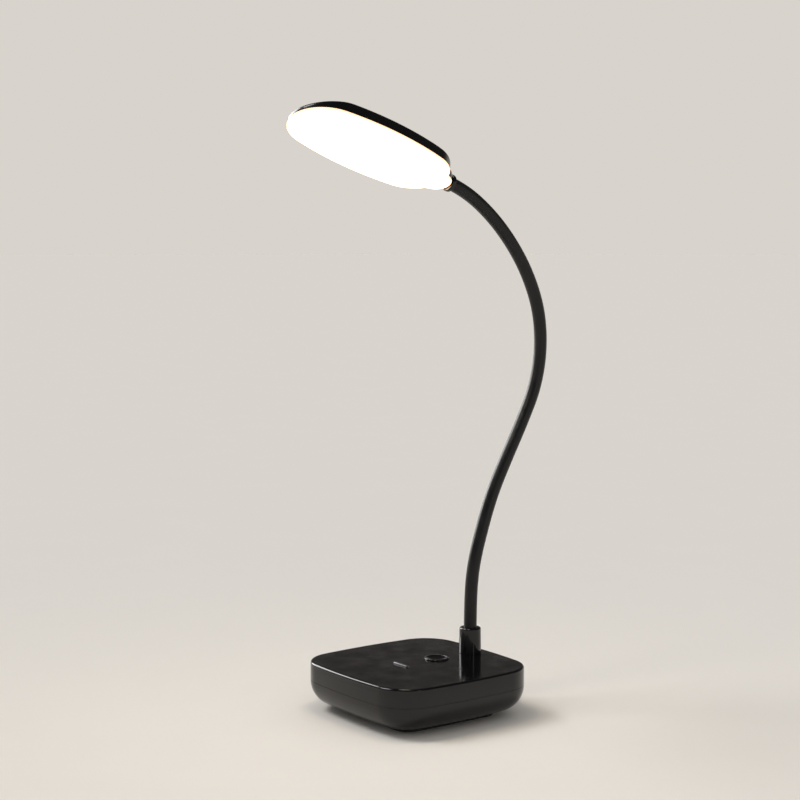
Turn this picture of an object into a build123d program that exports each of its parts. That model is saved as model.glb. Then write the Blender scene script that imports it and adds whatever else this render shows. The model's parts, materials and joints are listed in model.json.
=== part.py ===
from build123d import *
from math import cos, radians, sin, sqrt, tan
import os

# Cordless gooseneck desk lamp. Millimetres, +Z up. The origin is the middle of the foot pad, on the table.
# The lamp faces -Y: the head hangs over the front edge of the base and the neck rises near the back edge.

os.makedirs("parts", exist_ok=True)

# --- Base: rounded square with bowed sides --------------------------------------------------------------------
BASE_WIDTH = 100.0
SIDE_BOW = 3.2  # how far each side bulges past its two corners
CORNER_RADIUS = 21.3
BASE_TOP = 28.0
PARTING_Z = 17.6  # where the top cover meets the lower shell
SHELL_BOTTOM = 3.0
TOP_EDGE_RADIUS = 1.2
UNDERSIDE_RADIUS = 14.0
WALL = 2.0
TOP_PLATE = 2.2
LIP = 1.4  # the cover's locating lip inside the lower shell
LIP_WALL = 0.9
FIT = 0.1  # gap between moulded pieces that locate each other
PAD_HALF = 33.0
PAD_CORNER = 9.0
PAD_RECESS = 0.6

# --- Base fasteners -------------------------------------------------------------------------------------------
POST_SPACING = 54.0
BOSS_RADIUS = 4.5
BOSS_TOP = 12.0
POST_RADIUS = 3.5
SCREW_SEAT = 8.0  # the height at which the base screws' heads bear
SCREW_HEAD_RADIUS = 2.8
SCREW_HEAD = 2.0
SCREW_RADIUS = 1.45
SCREW_HOLE_RADIUS = 1.5
SCREW_TIP = 21.0
SCREW_SLOT = (2.6, 0.7, 1.1)  # length, width and depth of each bar of the cross in a base screw's head

# --- Inside the base ------------------------------------------------------------------------------------------
FLOOR_Z = SHELL_BOTTOM + WALL
BALLAST_HALF = 35.0
BALLAST_CORNER = 8.0
BALLAST_BOTTOM = 5.2
BALLAST_TOP = 11.2
BALLAST_BOSS_Y = 28.0
BALLAST_BOSS_RADIUS = 3.0
BALLAST_SCREW_HEAD = (4.2, 1.6)  # radius and height
BALLAST_SCREW_RADIUS = 1.25
TAPE = 0.5
CELL_SIZE = (50.0, 34.0, 6.0)
BOARD_BOTTOM = 18.2
BOARD = 1.2
BOARD_TOP = BOARD_BOTTOM + BOARD
BOARD_HALF_X = 34.0
BOARD_FRONT = -19.0
BOARD_BACK = 20.0
BOARD_POST_X = 30.0
BOARD_POST_Y = 15.5
BOARD_POST_RADIUS = 2.4
BOARD_SCREW_HEAD = (1.9, 1.4)
BOARD_SCREW_RADIUS = 0.95
BOARD_SCREW_LENGTH = 5.5
PORT_X = 16.8
PORT_TAB_BACK = 45.0
PORT_SIZE = (9.0, 7.3, 3.2)  # width, depth and height of the charging socket's shell
PORT_FACE = 48.6
PORT_TONGUE = (6.7, 0.7)
CONNECTOR = 6.0  # the soldered connectors' footprint is square
BATTERY_CONNECTOR = (-26.0, 5.0)
LEAD_CONNECTOR = (-9.0, 16.8)
PLATE_UNDER = BASE_TOP - TOP_PLATE

# --- Controls in the top of the base --------------------------------------------------------------------------
BUTTON_Y = 14.0
BUTTON_RADIUS = 6.8
BUTTON_HOLE_RADIUS = 7.1
BUTTON_FLANGE_RADIUS = 8.0
BUTTON_FLANGE_BOTTOM = 24.5
BUTTON_FLANGE = 0.8
BUTTON_TOP = 28.8
BUTTON_DISH = 1.3  # depth of the dish inside the button's raised lip
BUTTON_DISH_RADIUS = 14.0
LAMP_BAR_Y = -11.0
LAMP_BAR = (13.0, 2.0)
LAMP_BAR_TOP = 28.8
LAMP_BAR_FOOT = 20.3  # the light pipe's lower end, above the two diodes
SWITCH_SIZE = 6.0
SWITCH_HEIGHT = 3.5
PLUNGER_RADIUS = 1.6
PLUNGER_TOP = 23.9
PLUNGER_LENGTH = 2.4

# --- Gooseneck ------------------------------------------------------------------------------------------------
NECK_Y = 38.4
THREAD_RADIUS = 4.0
FERRULE_END = 21.4
COLLAR_HEIGHT = 15.0
COLLAR_FOOT_RADIUS = 6.35
COLLAR_TOP_RADIUS = 6.15
FLANGE_RADIUS = 5.0  # the ferrule's flange, which sits in a recess under the collar
FLANGE = 1.6
WASHER_RADIUS = 7.0
WASHER = 0.8
NUT_ACROSS_FLATS = 12.0
NUT = 3.2
SLEEVE_RADIUS = 3.7
SLEEVE_BORE = 3.1
SLEEVE_START = 30.0
FIRST_SEAT_Z = 54.0
LINK_PITCH = 22.5
# How far each link leans back from upright at rest, in degrees; a negative lean is towards the front.
LINK_LEAN = (4.0, 16.5, 20.5, 28.5, 30.0, 27.0, 11.0, -5.0, -22.5, -34.5, -44.5, -55.0)
HEAD_PITCH = 20.0  # the head's long axis rises by this much towards its tip
HEAD_ROLL = 19.0  # and the head is turned by this much about that axis, its +X side up
BALL_RADIUS = 1.9
SEAT_GAP = 0.05
LINK_BORE = 1.0
LINK_END_RADIUS = 2.2
LINK_RADIUS = 2.7
LINK_END_LENGTH = 4.0
SHOULDER = 0.7  # from a ball's centre down to the shoulder under it
SEAT_RIM = 0.92  # from a ball's centre up to the rim of the cup that sits on it
LEAD_RADIUS = 0.5
LEAD_BEND = 6.0
LEAD_FLOOR = 15.0  # the height at which the lead crosses under the neck's ferrule
BATTERY_LEAD_RADIUS = 1.0

# --- Head -----------------------------------------------------------------------------------------------------
STUB_LENGTH = 13.0  # from the last seat to the head's nose
HEAD_LENGTH = 101.0
HEAD_WIDTH = 48.4
HEAD_END_RADIUS = 21.5  # the oval's two ends; its sides are long shallow arcs that touch them
NOSE_LENGTH = 5.5  # how far the nose stands out of the oval
NOSE_RADIUS = 9.5
NOSE_BLEND = 2.5  # the hollow radius where the nose runs into the oval
DIFFUSER_FACE = -3.4  # heights in the head are measured from the neck's axis
DIFFUSER_EDGE_RADIUS = 0.8
RIM = -2.4
COVER_TOP = 3.9
NOSE_TOP = 3.0  # the cover is lower at the nose and much lower at the tip
TIP_TOP = 0.4
NOSE_SLOPE_START = -26.0  # where the two slopes meet the flat top, measured from the nose
TIP_SLOPE_START = -87.0
SLOPE_BLEND = 30.0
COVER_EDGE_RADIUS = 1.8
COVER_WALL = 1.4
COVER_RIB = 0.9
HEAD_RING_RADIUS = 5.0
HEAD_RING = 2.6
CEILING = COVER_TOP - COVER_WALL
EAR_THICKNESS = 1.6
EAR_WIDTH = 12.0
EAR_START = 2.0  # the ears' ends, measured from the nose into the head
EAR_END = 8.5
EAR_SCREW_X = 4.0
EAR_SCREW_Y = 5.5
HEAD_SCREW_HEAD = (1.5, 1.1)
EAR_SCREW_END = 2.2
RIB_BACK = 12.0
LED_BOARD = (40.5, 78.0)
LED_BOARD_CORNER = 16.0
LED_BOARD_MIDDLE = -53.5
LED_BOARD_BOTTOM = 0.4
LED_BOARD_TOP = 1.2
LED_BOARD_SCREW = (15.5, 22.0)  # the board's screws, measured from its middle
LED_BOARD_SCREW_END = 2.7
SMALL_SCREW_RADIUS = 0.75
LED_SIZE = (2.8, 3.5, 0.7)
LED_COLUMNS = 3
LED_ROWS = 9
LED_SPACING = (10.5, 8.0)
REFLECTOR_BOTTOM = 0.05
REFLECTOR = 0.3
HEAD_CONNECTOR = (6.0, 4.0, 2.2)
HEAD_CONNECTOR_Y = -17.0
LEAD_END_Z = -0.8

OVERLAP = 0.5  # how far a boss runs into the wall that carries it


def base_outline(inset=0.0):
    """The base's rounded square with bowed sides, drawn in by inset."""
    half = BASE_WIDTH / 2 - inset
    bow_radius = ((BASE_WIDTH / 2 - SIDE_BOW) ** 2 + SIDE_BOW**2) / (2 * SIDE_BOW) - inset
    bow_centre = bow_radius - half
    corner = (sqrt(2 * bow_radius**2 - bow_centre**2) - bow_centre) / 2
    with BuildSketch(Plane.XY, mode=Mode.PRIVATE) as outline:
        with BuildLine():
            ThreePointArc((-corner, -corner), (0, -half), (corner, -corner))
            ThreePointArc((corner, -corner), (half, 0), (corner, corner))
            ThreePointArc((corner, corner), (0, half), (-corner, corner))
            ThreePointArc((-corner, corner), (-half, 0), (-corner, -corner))
        make_face()
        fillet(outline.vertices(), CORNER_RADIUS - inset)
    return outline.sketch


def posts():
    """The four places where a screw joins the base's two shells."""
    return GridLocations(POST_SPACING, POST_SPACING, 2, 2)


def board_posts():
    """The four places where the main board hangs from the top cover."""
    return GridLocations(2 * BOARD_POST_X, 2 * BOARD_POST_Y, 2, 2)


# --- Base shells ----------------------------------------------------------------------------------------------
with BuildPart() as base_top_cover:
    with BuildSketch(Plane.XY.offset(PARTING_Z)):
        add(base_outline())
    extrude(amount=BASE_TOP - PARTING_Z)
    fillet(base_top_cover.faces().sort_by(Axis.Z)[-1].edges(), TOP_EDGE_RADIUS)
    with BuildSketch(Plane.XY.offset(PARTING_Z)):
        add(base_outline(WALL))
    extrude(amount=PLATE_UNDER - PARTING_Z, mode=Mode.SUBTRACT)
    # The lip that locates the cover in the lower shell.
    with BuildSketch(Plane.XY.offset(PARTING_Z - LIP)):
        add(base_outline(WALL - LIP_WALL + FIT))
        add(base_outline(WALL), mode=Mode.SUBTRACT)
    extrude(amount=LIP + WALL)
    # Posts for the base screws and for the main board.
    with BuildSketch(Plane.XY.offset(BOSS_TOP + FIT)):
        with posts():
            Circle(POST_RADIUS)
    extrude(amount=PLATE_UNDER - BOSS_TOP - FIT + OVERLAP)
    with BuildSketch(Plane.XY.offset(BOSS_TOP)):
        with posts():
            Circle(SCREW_HOLE_RADIUS)
    extrude(amount=SCREW_TIP + 1.0 - BOSS_TOP, mode=Mode.SUBTRACT)
    with BuildSketch(Plane.XY.offset(BOARD_TOP)):
        with board_posts():
            Circle(BOARD_POST_RADIUS)
    extrude(amount=PLATE_UNDER - BOARD_TOP + OVERLAP)
    with BuildSketch(Plane.XY.offset(BOARD_TOP)):
        with board_posts():
            Circle(BOARD_SCREW_RADIUS + 0.05)
    extrude(amount=BOARD_SCREW_LENGTH - BOARD + 0.7, mode=Mode.SUBTRACT)
    # Holes in the top plate: the neck's, the button's and the charge light's.
    with BuildSketch(Plane.XY.offset(PLATE_UNDER)):
        with Locations((0, NECK_Y)):
            Circle(THREAD_RADIUS + 0.15)
        with Locations((0, BUTTON_Y)):
            Circle(BUTTON_HOLE_RADIUS)
        with Locations((0, LAMP_BAR_Y)):
            SlotOverall(LAMP_BAR[0] + 2 * FIT, LAMP_BAR[1] + 2 * FIT)
    extrude(amount=TOP_PLATE, mode=Mode.SUBTRACT)
    # The charging port's window in the back wall.
    with BuildSketch(Plane.XZ.offset(-BASE_WIDTH / 2)):
        with Locations((PORT_X, BOARD_TOP + PORT_SIZE[2] / 2)):
            SlotOverall(PORT_SIZE[0] + 0.6, PORT_SIZE[2] + 0.6)
    extrude(amount=2 * WALL, mode=Mode.SUBTRACT)

with BuildPart() as shell_hollow:
    with BuildSketch(Plane.XY.offset(FLOOR_Z)):
        add(base_outline(WALL))
    extrude(amount=PARTING_Z - FLOOR_Z)
    fillet(shell_hollow.faces().sort_by(Axis.Z)[0].edges(), UNDERSIDE_RADIUS - WALL)
    with BuildSketch(Plane.XY.offset(PARTING_Z - LIP - FIT)):
        add(base_outline(WALL - LIP_WALL))
    extrude(amount=LIP + FIT)

with BuildPart() as base_lower_shell:
    with BuildSketch(Plane.XY.offset(SHELL_BOTTOM)):
        add(base_outline())
    extrude(amount=PARTING_Z - SHELL_BOTTOM)
    fillet(base_lower_shell.faces().sort_by(Axis.Z)[0].edges(), UNDERSIDE_RADIUS)
    add(shell_hollow.part, mode=Mode.SUBTRACT)
    with BuildSketch(Plane.XY.offset(FLOOR_Z - OVERLAP)):
        with posts():
            Circle(BOSS_RADIUS)
    extrude(amount=BOSS_TOP - FLOOR_Z + OVERLAP)
    with BuildSketch(Plane.XY.offset(FLOOR_Z - OVERLAP)):
        with GridLocations(0, 2 * BALLAST_BOSS_Y, 1, 2):
            Circle(BALLAST_BOSS_RADIUS)
    extrude(amount=BALLAST_TOP - FIT - FLOOR_Z + OVERLAP)
    with BuildSketch(Plane.XY.offset(FLOOR_Z + 1.0)):
        with GridLocations(0, 2 * BALLAST_BOSS_Y, 1, 2):
            Circle(BALLAST_SCREW_RADIUS + 0.05)
    extrude(amount=BALLAST_TOP, mode=Mode.SUBTRACT)
    with BuildSketch(Plane.XY.offset(SHELL_BOTTOM)):
        with posts():
            Circle(SCREW_HEAD_RADIUS + 0.3)
    extrude(amount=SCREW_SEAT - SHELL_BOTTOM, mode=Mode.SUBTRACT)
    with BuildSketch(Plane.XY.offset(SCREW_SEAT)):
        with posts():
            Circle(SCREW_RADIUS + 0.2)
    extrude(amount=BOSS_TOP - SCREW_SEAT, mode=Mode.SUBTRACT)
    with BuildSketch(Plane.XY.offset(SHELL_BOTTOM)):
        RectangleRounded(2 * PAD_HALF + 0.4, 2 * PAD_HALF + 0.4, PAD_CORNER + 0.2)
    extrude(amount=PAD_RECESS, mode=Mode.SUBTRACT)

with BuildPart() as foot_pad:
    with BuildSketch():
        RectangleRounded(2 * PAD_HALF, 2 * PAD_HALF, PAD_CORNER)
    extrude(amount=SHELL_BOTTOM + PAD_RECESS)
    chamfer(foot_pad.faces().sort_by(Axis.Z)[0].edges(), 0.4)

with BuildPart() as base_screws:
    with BuildSketch(Plane.XY.offset(SCREW_SEAT - SCREW_HEAD)):
        with posts():
            Circle(SCREW_HEAD_RADIUS)
    extrude(amount=SCREW_HEAD)
    with BuildSketch(Plane.XY.offset(SCREW_SEAT)):
        with posts():
            Circle(SCREW_RADIUS)
    extrude(amount=SCREW_TIP - SCREW_SEAT)
    with BuildSketch(Plane.XY.offset(SCREW_SEAT - SCREW_HEAD)):
        with posts():
            Rectangle(SCREW_SLOT[0], SCREW_SLOT[1])
            Rectangle(SCREW_SLOT[1], SCREW_SLOT[0])
    extrude(amount=SCREW_SLOT[2], mode=Mode.SUBTRACT)

# --- Weight, cell and electronics in the base -----------------------------------------------------------------
with BuildPart() as ballast_weight:
    with BuildSketch(Plane.XY.offset(BALLAST_BOTTOM)):
        RectangleRounded(2 * BALLAST_HALF, 2 * BALLAST_HALF, BALLAST_CORNER)
        with posts():
            Circle(BOSS_RADIUS + 0.4, mode=Mode.SUBTRACT)
        with GridLocations(0, 2 * BALLAST_BOSS_Y, 1, 2):
            Circle(BALLAST_BOSS_RADIUS + 0.3, mode=Mode.SUBTRACT)
    extrude(amount=BALLAST_TOP - BALLAST_BOTTOM)

with BuildPart() as ballast_screws:
    with BuildSketch(Plane.XY.offset(BALLAST_TOP)):
        with GridLocations(0, 2 * BALLAST_BOSS_Y, 1, 2):
            Circle(BALLAST_SCREW_HEAD[0])
    extrude(amount=BALLAST_SCREW_HEAD[1])
    with BuildSketch(Plane.XY.offset(FLOOR_Z + 1.5)):
        with GridLocations(0, 2 * BALLAST_BOSS_Y, 1, 2):
            Circle(BALLAST_SCREW_RADIUS)
    extrude(amount=BALLAST_TOP - FLOOR_Z - 1.5)
    with BuildSketch(Plane.XY.offset(BALLAST_TOP + BALLAST_SCREW_HEAD[1] - 1.0)):
        with GridLocations(0, 2 * BALLAST_BOSS_Y, 1, 2):
            Rectangle(3.4, 0.8)
            Rectangle(0.8, 3.4)
    extrude(amount=1.0, mode=Mode.SUBTRACT)

with BuildPart() as battery_tape:
    with BuildSketch(Plane.XY.offset(BALLAST_TOP)):
        Rectangle(CELL_SIZE[0] - 4, CELL_SIZE[1] - 4)
    extrude(amount=TAPE)

with BuildPart() as battery_cell:
    with BuildSketch(Plane.XY.offset(BALLAST_TOP + TAPE)):
        RectangleRounded(CELL_SIZE[0], CELL_SIZE[1], 2.5)
    extrude(amount=CELL_SIZE[2])
    fillet(battery_cell.faces().sort_by(Axis.Z)[-1].edges(), 1.0)

with BuildPart() as main_board:
    with BuildSketch(Plane.XY.offset(BOARD_BOTTOM)):
        with Locations((0, (BOARD_FRONT + BOARD_BACK) / 2)):
            RectangleRounded(2 * BOARD_HALF_X, BOARD_BACK - BOARD_FRONT, 2.0)
        with Locations((PORT_X, (BOARD_BACK + PORT_TAB_BACK) / 2 - 1)):
            Rectangle(11.4, PORT_TAB_BACK - BOARD_BACK + 2)
        with board_posts():
            Circle(BOARD_SCREW_RADIUS + 0.15, mode=Mode.SUBTRACT)
    extrude(amount=BOARD)

with BuildPart() as board_screws:
    with BuildSketch(Plane.XY.offset(BOARD_BOTTOM)):
        with board_posts():
            Circle(BOARD_SCREW_HEAD[0])
    extrude(amount=-BOARD_SCREW_HEAD[1])
    with BuildSketch(Plane.XY.offset(BOARD_BOTTOM)):
        with board_posts():
            Circle(BOARD_SCREW_RADIUS)
    extrude(amount=BOARD_SCREW_LENGTH)

with BuildPart() as charge_port:
    with BuildSketch(Plane.XZ.offset(-PORT_FACE)):
        with Locations((PORT_X, BOARD_TOP + PORT_SIZE[2] / 2)):
            SlotOverall(PORT_SIZE[0], PORT_SIZE[2])
    extrude(amount=PORT_SIZE[1])
    with BuildSketch(Plane.XZ.offset(-PORT_FACE)):
        with Locations((PORT_X, BOARD_TOP + PORT_SIZE[2] / 2)):
            SlotOverall(PORT_SIZE[0] - 0.6, PORT_SIZE[2] - 0.6)
            Rectangle(*PORT_TONGUE, mode=Mode.SUBTRACT)
    extrude(amount=PORT_SIZE[1] - 1.0, mode=Mode.SUBTRACT)

with BuildPart() as switch_body:
    with BuildSketch(Plane.XY.offset(BOARD_TOP)):
        with Locations((0, BUTTON_Y)):
            Rectangle(SWITCH_SIZE, SWITCH_SIZE)
    extrude(amount=SWITCH_HEIGHT)
    chamfer(switch_body.edges().filter_by(Axis.Z), 0.5)
    with BuildSketch(Plane.XY.offset(BOARD_TOP + 1.2)):
        with Locations((0, BUTTON_Y)):
            Circle(PLUNGER_RADIUS + FIT)
    extrude(amount=SWITCH_HEIGHT, mode=Mode.SUBTRACT)

with BuildPart() as switch_plunger:
    with BuildSketch(Plane.XY.offset(PLUNGER_TOP)):
        with Locations((0, BUTTON_Y)):
            Circle(PLUNGER_RADIUS)
    extrude(amount=-PLUNGER_LENGTH)

with BuildPart() as power_button:
    with BuildSketch(Plane.XY.offset(BUTTON_FLANGE_BOTTOM)):
        with Locations((0, BUTTON_Y)):
            Circle(BUTTON_FLANGE_RADIUS)
    extrude(amount=BUTTON_FLANGE)
    with BuildSketch(Plane.XY.offset(BUTTON_FLANGE_BOTTOM)):
        with Locations((0, BUTTON_Y)):
            Circle(BUTTON_RADIUS)
    extrude(amount=BUTTON_TOP - BUTTON_FLANGE_BOTTOM)
    # The shallow dish inside a raised, rounded lip.
    with Locations((0, BUTTON_Y, BUTTON_TOP - BUTTON_DISH + BUTTON_DISH_RADIUS)):
        Sphere(BUTTON_DISH_RADIUS, mode=Mode.SUBTRACT)
    fillet(power_button.edges().group_by(Axis.Z)[-1].sort_by(SortBy.RADIUS)[-1], 0.5)
    fillet(power_button.edges().group_by(Axis.Z)[-1].sort_by(SortBy.RADIUS)[0], 0.3)
    # The stem that rests on the switch.
    with BuildSketch(Plane.XY.offset(PLUNGER_TOP)):
        with Locations((0, BUTTON_Y)):
            Circle(2.0)
    extrude(amount=BUTTON_FLANGE_BOTTOM - PLUNGER_TOP + FIT)

with BuildPart() as charge_light_pipe:
    with BuildSketch(Plane.XY.offset(LAMP_BAR_FOOT)):
        with Locations((0, LAMP_BAR_Y)):
            SlotOverall(*LAMP_BAR)
    extrude(amount=LAMP_BAR_TOP - LAMP_BAR_FOOT)
    fillet(charge_light_pipe.faces().sort_by(Axis.Z)[-1].edges(), 0.6)
    with BuildSketch(Plane.XY.offset(PLATE_UNDER - 0.8)):
        with Locations((0, LAMP_BAR_Y)):
            SlotOverall(LAMP_BAR[0] + 2, LAMP_BAR[1] + 2)
    extrude(amount=0.8)

with BuildPart() as charge_leds:
    with BuildSketch(Plane.XY.offset(BOARD_TOP)):
        with Locations((-3.5, LAMP_BAR_Y), (3.5, LAMP_BAR_Y)):
            Rectangle(1.6, 0.8)
    extrude(amount=0.6)

with BuildPart() as battery_connector:
    with BuildSketch(Plane.XY.offset(BOARD_TOP)):
        with Locations(BATTERY_CONNECTOR):
            Rectangle(CONNECTOR, CONNECTOR)
    extrude(amount=4.4)

with BuildPart() as lead_connector:
    with BuildSketch(Plane.XY.offset(BOARD_TOP)):
        with Locations(LEAD_CONNECTOR):
            Rectangle(CONNECTOR, CONNECTOR)
    extrude(amount=4.0)

# --- Gooseneck ------------------------------------------------------------------------------------------------
# The seats are the centres of the balls that the links turn on, in the lamp's middle plane.
seats = [Vector(0, NECK_Y, FIRST_SEAT_Z)]
for lean in LINK_LEAN:
    seats.append(seats[-1] + Vector(0, sin(radians(lean)), cos(radians(lean))) * LINK_PITCH)
head_axis = Vector(0, -cos(radians(HEAD_PITCH)), sin(radians(HEAD_PITCH)))
nose = seats[-1] + head_axis * STUB_LENGTH

roll = radians(HEAD_ROLL)
pitch = radians(HEAD_PITCH)
HEAD = Plane(
    nose,
    x_dir=(cos(roll), sin(roll) * sin(pitch), sin(roll) * cos(pitch)),
    z_dir=(-sin(roll), cos(roll) * sin(pitch), cos(roll) * cos(pitch)),
)
HEAD_UP = Axis(HEAD.origin, HEAD.z_dir)
HEAD_SIDE = Plane(nose, x_dir=HEAD.y_dir, z_dir=HEAD.x_dir)


def ear_screws():
    """The two places where screws hold the neck's ears to the head."""
    return Locations((-EAR_SCREW_X, -EAR_SCREW_Y), (EAR_SCREW_X, -EAR_SCREW_Y))


def on_ball(radius, height):
    """How far from the axis a ball's surface is at this height from its centre."""
    return sqrt(radius**2 - height**2)


def cup_points():
    """The bore's end and the rim's edge of the cup that sits on a ball, as (radius, height)."""
    radius = BALL_RADIUS + SEAT_GAP
    return (LINK_BORE, on_ball(radius, LINK_BORE)), (on_ball(radius, SEAT_RIM), SEAT_RIM)


def ball_points(height):
    """A ball's foot, side and top, where its centre is at this height."""
    foot = (on_ball(BALL_RADIUS, SHOULDER), height - SHOULDER)
    return foot, (BALL_RADIUS, height), (LINK_BORE, height + on_ball(BALL_RADIUS, LINK_BORE))


def seat_plane(seat, along):
    """The plane that a link's half section is drawn on: its Y direction runs along the link."""
    return Plane(seat, x_dir=(1, 0, 0), z_dir=Vector(1, 0, 0).cross(along))


with BuildPart() as collar:
    with BuildSketch(Plane.XZ.offset(-NECK_Y)):
        with BuildLine():
            Polyline(
                (SLEEVE_RADIUS + FIT, BASE_TOP + COLLAR_HEIGHT),
                (COLLAR_TOP_RADIUS, BASE_TOP + COLLAR_HEIGHT),
                (COLLAR_FOOT_RADIUS, BASE_TOP),
                (FLANGE_RADIUS + 0.2, BASE_TOP),
                (FLANGE_RADIUS + 0.2, BASE_TOP + FLANGE + FIT),
                (SLEEVE_RADIUS + FIT, BASE_TOP + FLANGE + FIT),
                close=True,
            )
        make_face()
    revolve(axis=Axis((0, NECK_Y, 0), (0, 0, 1)))
    fillet(collar.edges().group_by(Axis.Z)[-1].sort_by(SortBy.RADIUS)[-1], 1.0)

with BuildPart() as neck_ferrule:
    ball_foot, ball_side, ball_top = ball_points(FIRST_SEAT_Z)
    with BuildSketch(Plane.XZ.offset(-NECK_Y)):
        with BuildLine():
            Polyline(
                ball_top,
                (LINK_BORE, FERRULE_END),
                (THREAD_RADIUS, FERRULE_END),
                (THREAD_RADIUS, BASE_TOP),
                (FLANGE_RADIUS, BASE_TOP),
                (FLANGE_RADIUS, BASE_TOP + FLANGE),
                (LINK_RADIUS, BASE_TOP + FLANGE),
                (LINK_RADIUS, FIRST_SEAT_Z - LINK_END_LENGTH - 1),
                (LINK_END_RADIUS, FIRST_SEAT_Z - LINK_END_LENGTH),
                (LINK_END_RADIUS, FIRST_SEAT_Z - SHOULDER),
                ball_foot,
            )
            ThreePointArc(ball_foot, ball_side, ball_top)
        make_face()
    revolve(axis=Axis((0, NECK_Y, 0), (0, 0, 1)))

with BuildPart() as neck_washer:
    with BuildSketch(Plane.XY.offset(PLATE_UNDER)):
        with Locations((0, NECK_Y)):
            Circle(WASHER_RADIUS)
            Circle(THREAD_RADIUS + 0.2, mode=Mode.SUBTRACT)
    extrude(amount=-WASHER)

with BuildPart() as neck_nut:
    with BuildSketch(Plane.XY.offset(PLATE_UNDER - WASHER)):
        with Locations((0, NECK_Y)):
            RegularPolygon(NUT_ACROSS_FLATS / 2, 6, major_radius=False)
            Circle(THREAD_RADIUS + FIT, mode=Mode.SUBTRACT)
    extrude(amount=-NUT)

# Each link has a cup at its lower seat, a slim waist at both ends so that the sleeve can bend, and a ball.
links = []
for number in range(1, len(seats)):
    low_seat = seats[number - 1]
    along = (seats[number] - low_seat).normalized()
    cup_bore, cup_edge = cup_points()
    ball_foot, ball_side, ball_top = ball_points(LINK_PITCH)
    with BuildPart() as neck_link:
        with BuildSketch(seat_plane(low_seat, along)):
            with BuildLine():
                RadiusArc(cup_bore, cup_edge, BALL_RADIUS + SEAT_GAP)
                Polyline(
                    cup_edge,
                    (LINK_END_RADIUS, SEAT_RIM),
                    (LINK_END_RADIUS, LINK_END_LENGTH),
                    (LINK_RADIUS, LINK_END_LENGTH + 1),
                    (LINK_RADIUS, LINK_PITCH - LINK_END_LENGTH - 1),
                    (LINK_END_RADIUS, LINK_PITCH - LINK_END_LENGTH),
                    (LINK_END_RADIUS, LINK_PITCH - SHOULDER),
                    ball_foot,
                )
                ThreePointArc(ball_foot, ball_side, ball_top)
                Line(ball_top, cup_bore)
            make_face()
        revolve(axis=Axis(low_seat, along))
    links.append(neck_link.part)


def arc_radii(route, limit=1000.0):
    """The bend radius at each inner point of a route: as large as its two runs allow, up to the limit."""
    radii = []
    for before, here, after in zip(route, route[1:], route[2:]):
        run = min((here - before).length, (after - here).length)
        turn = (here - before).get_angle(after - here)
        radii.append(min(limit, 0.45 * run / tan(radians(turn / 2))))
    return radii


sleeve_route = [Vector(0, NECK_Y, SLEEVE_START)] + seats + [nose + head_axis * -FIT]
with BuildPart() as neck_sleeve:
    with BuildLine() as sleeve_path:
        FilletPolyline(*sleeve_route, radius=arc_radii(sleeve_route))
    with BuildSketch(Plane.XY.offset(SLEEVE_START)):
        with Locations((0, NECK_Y)):
            Circle(SLEEVE_RADIUS)
            Circle(SLEEVE_BORE, mode=Mode.SUBTRACT)
    sweep(path=sleeve_path.wires()[0])

# The pair of wires from the main board, through the links' bores, to the head.
lead_height = BOARD_TOP + 2.0
lead_route = [
    Vector(LEAD_CONNECTOR[0], LEAD_CONNECTOR[1] + CONNECTOR / 2, lead_height),
    Vector(LEAD_CONNECTOR[0], LEAD_CONNECTOR[1] + CONNECTOR / 2 + 6.2, lead_height),
    Vector(LEAD_CONNECTOR[0] / 2, 30.0, LEAD_FLOOR),
    Vector(0, NECK_Y, LEAD_FLOOR),
]
lead_route += seats
lead_route.append(nose + head_axis * EAR_END)
lead_route.append(HEAD.from_local_coords((0, HEAD_CONNECTOR_Y + HEAD_CONNECTOR[1] / 2 + FIT, LEAD_END_Z)))
with BuildPart() as neck_lead:
    with BuildLine() as lead_path:
        FilletPolyline(*lead_route, radius=arc_radii(lead_route, LEAD_BEND))
    with BuildSketch(Plane(lead_route[0], z_dir=(0, 1, 0))):
        Circle(LEAD_RADIUS)
    sweep(path=lead_path.wires()[0])

cell_middle = BALLAST_TOP + TAPE + CELL_SIZE[2] / 2
connector_height = BOARD_TOP + 2.2
battery_turn = -BOARD_HALF_X - 3.0
battery_route = [
    Vector(-CELL_SIZE[0] / 2, BATTERY_CONNECTOR[1], cell_middle),
    Vector(battery_turn, BATTERY_CONNECTOR[1], cell_middle),
    Vector(battery_turn, BATTERY_CONNECTOR[1], connector_height),
    Vector(BATTERY_CONNECTOR[0] - CONNECTOR / 2, BATTERY_CONNECTOR[1], connector_height),
]
with BuildPart() as battery_lead:
    with BuildLine() as battery_path:
        FilletPolyline(*battery_route, radius=3.0)
    with BuildSketch(Plane(battery_route[0], z_dir=(-1, 0, 0))):
        Circle(BATTERY_LEAD_RADIUS)
    sweep(path=battery_path.wires()[0])


# --- Head -----------------------------------------------------------------------------------------------------
def oval_points(inset):
    """The oval, drawn in by inset: where an end arc and a side arc touch, and how far each of them reaches."""
    end_radius = HEAD_END_RADIUS - inset
    centre = HEAD_LENGTH / 2 - HEAD_END_RADIUS
    rest = HEAD_WIDTH / 2 - HEAD_END_RADIUS
    # The side arc touches both end arcs and passes through the widest point.
    side_radius = HEAD_WIDTH / 2 + (centre**2 - rest**2) / (2 * rest)
    lean = centre / (side_radius - HEAD_END_RADIUS)
    across = end_radius * sqrt(1 - lean**2)
    along = centre + end_radius * lean
    return across, along, HEAD_WIDTH / 2 - inset, HEAD_LENGTH / 2 - inset


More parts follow.
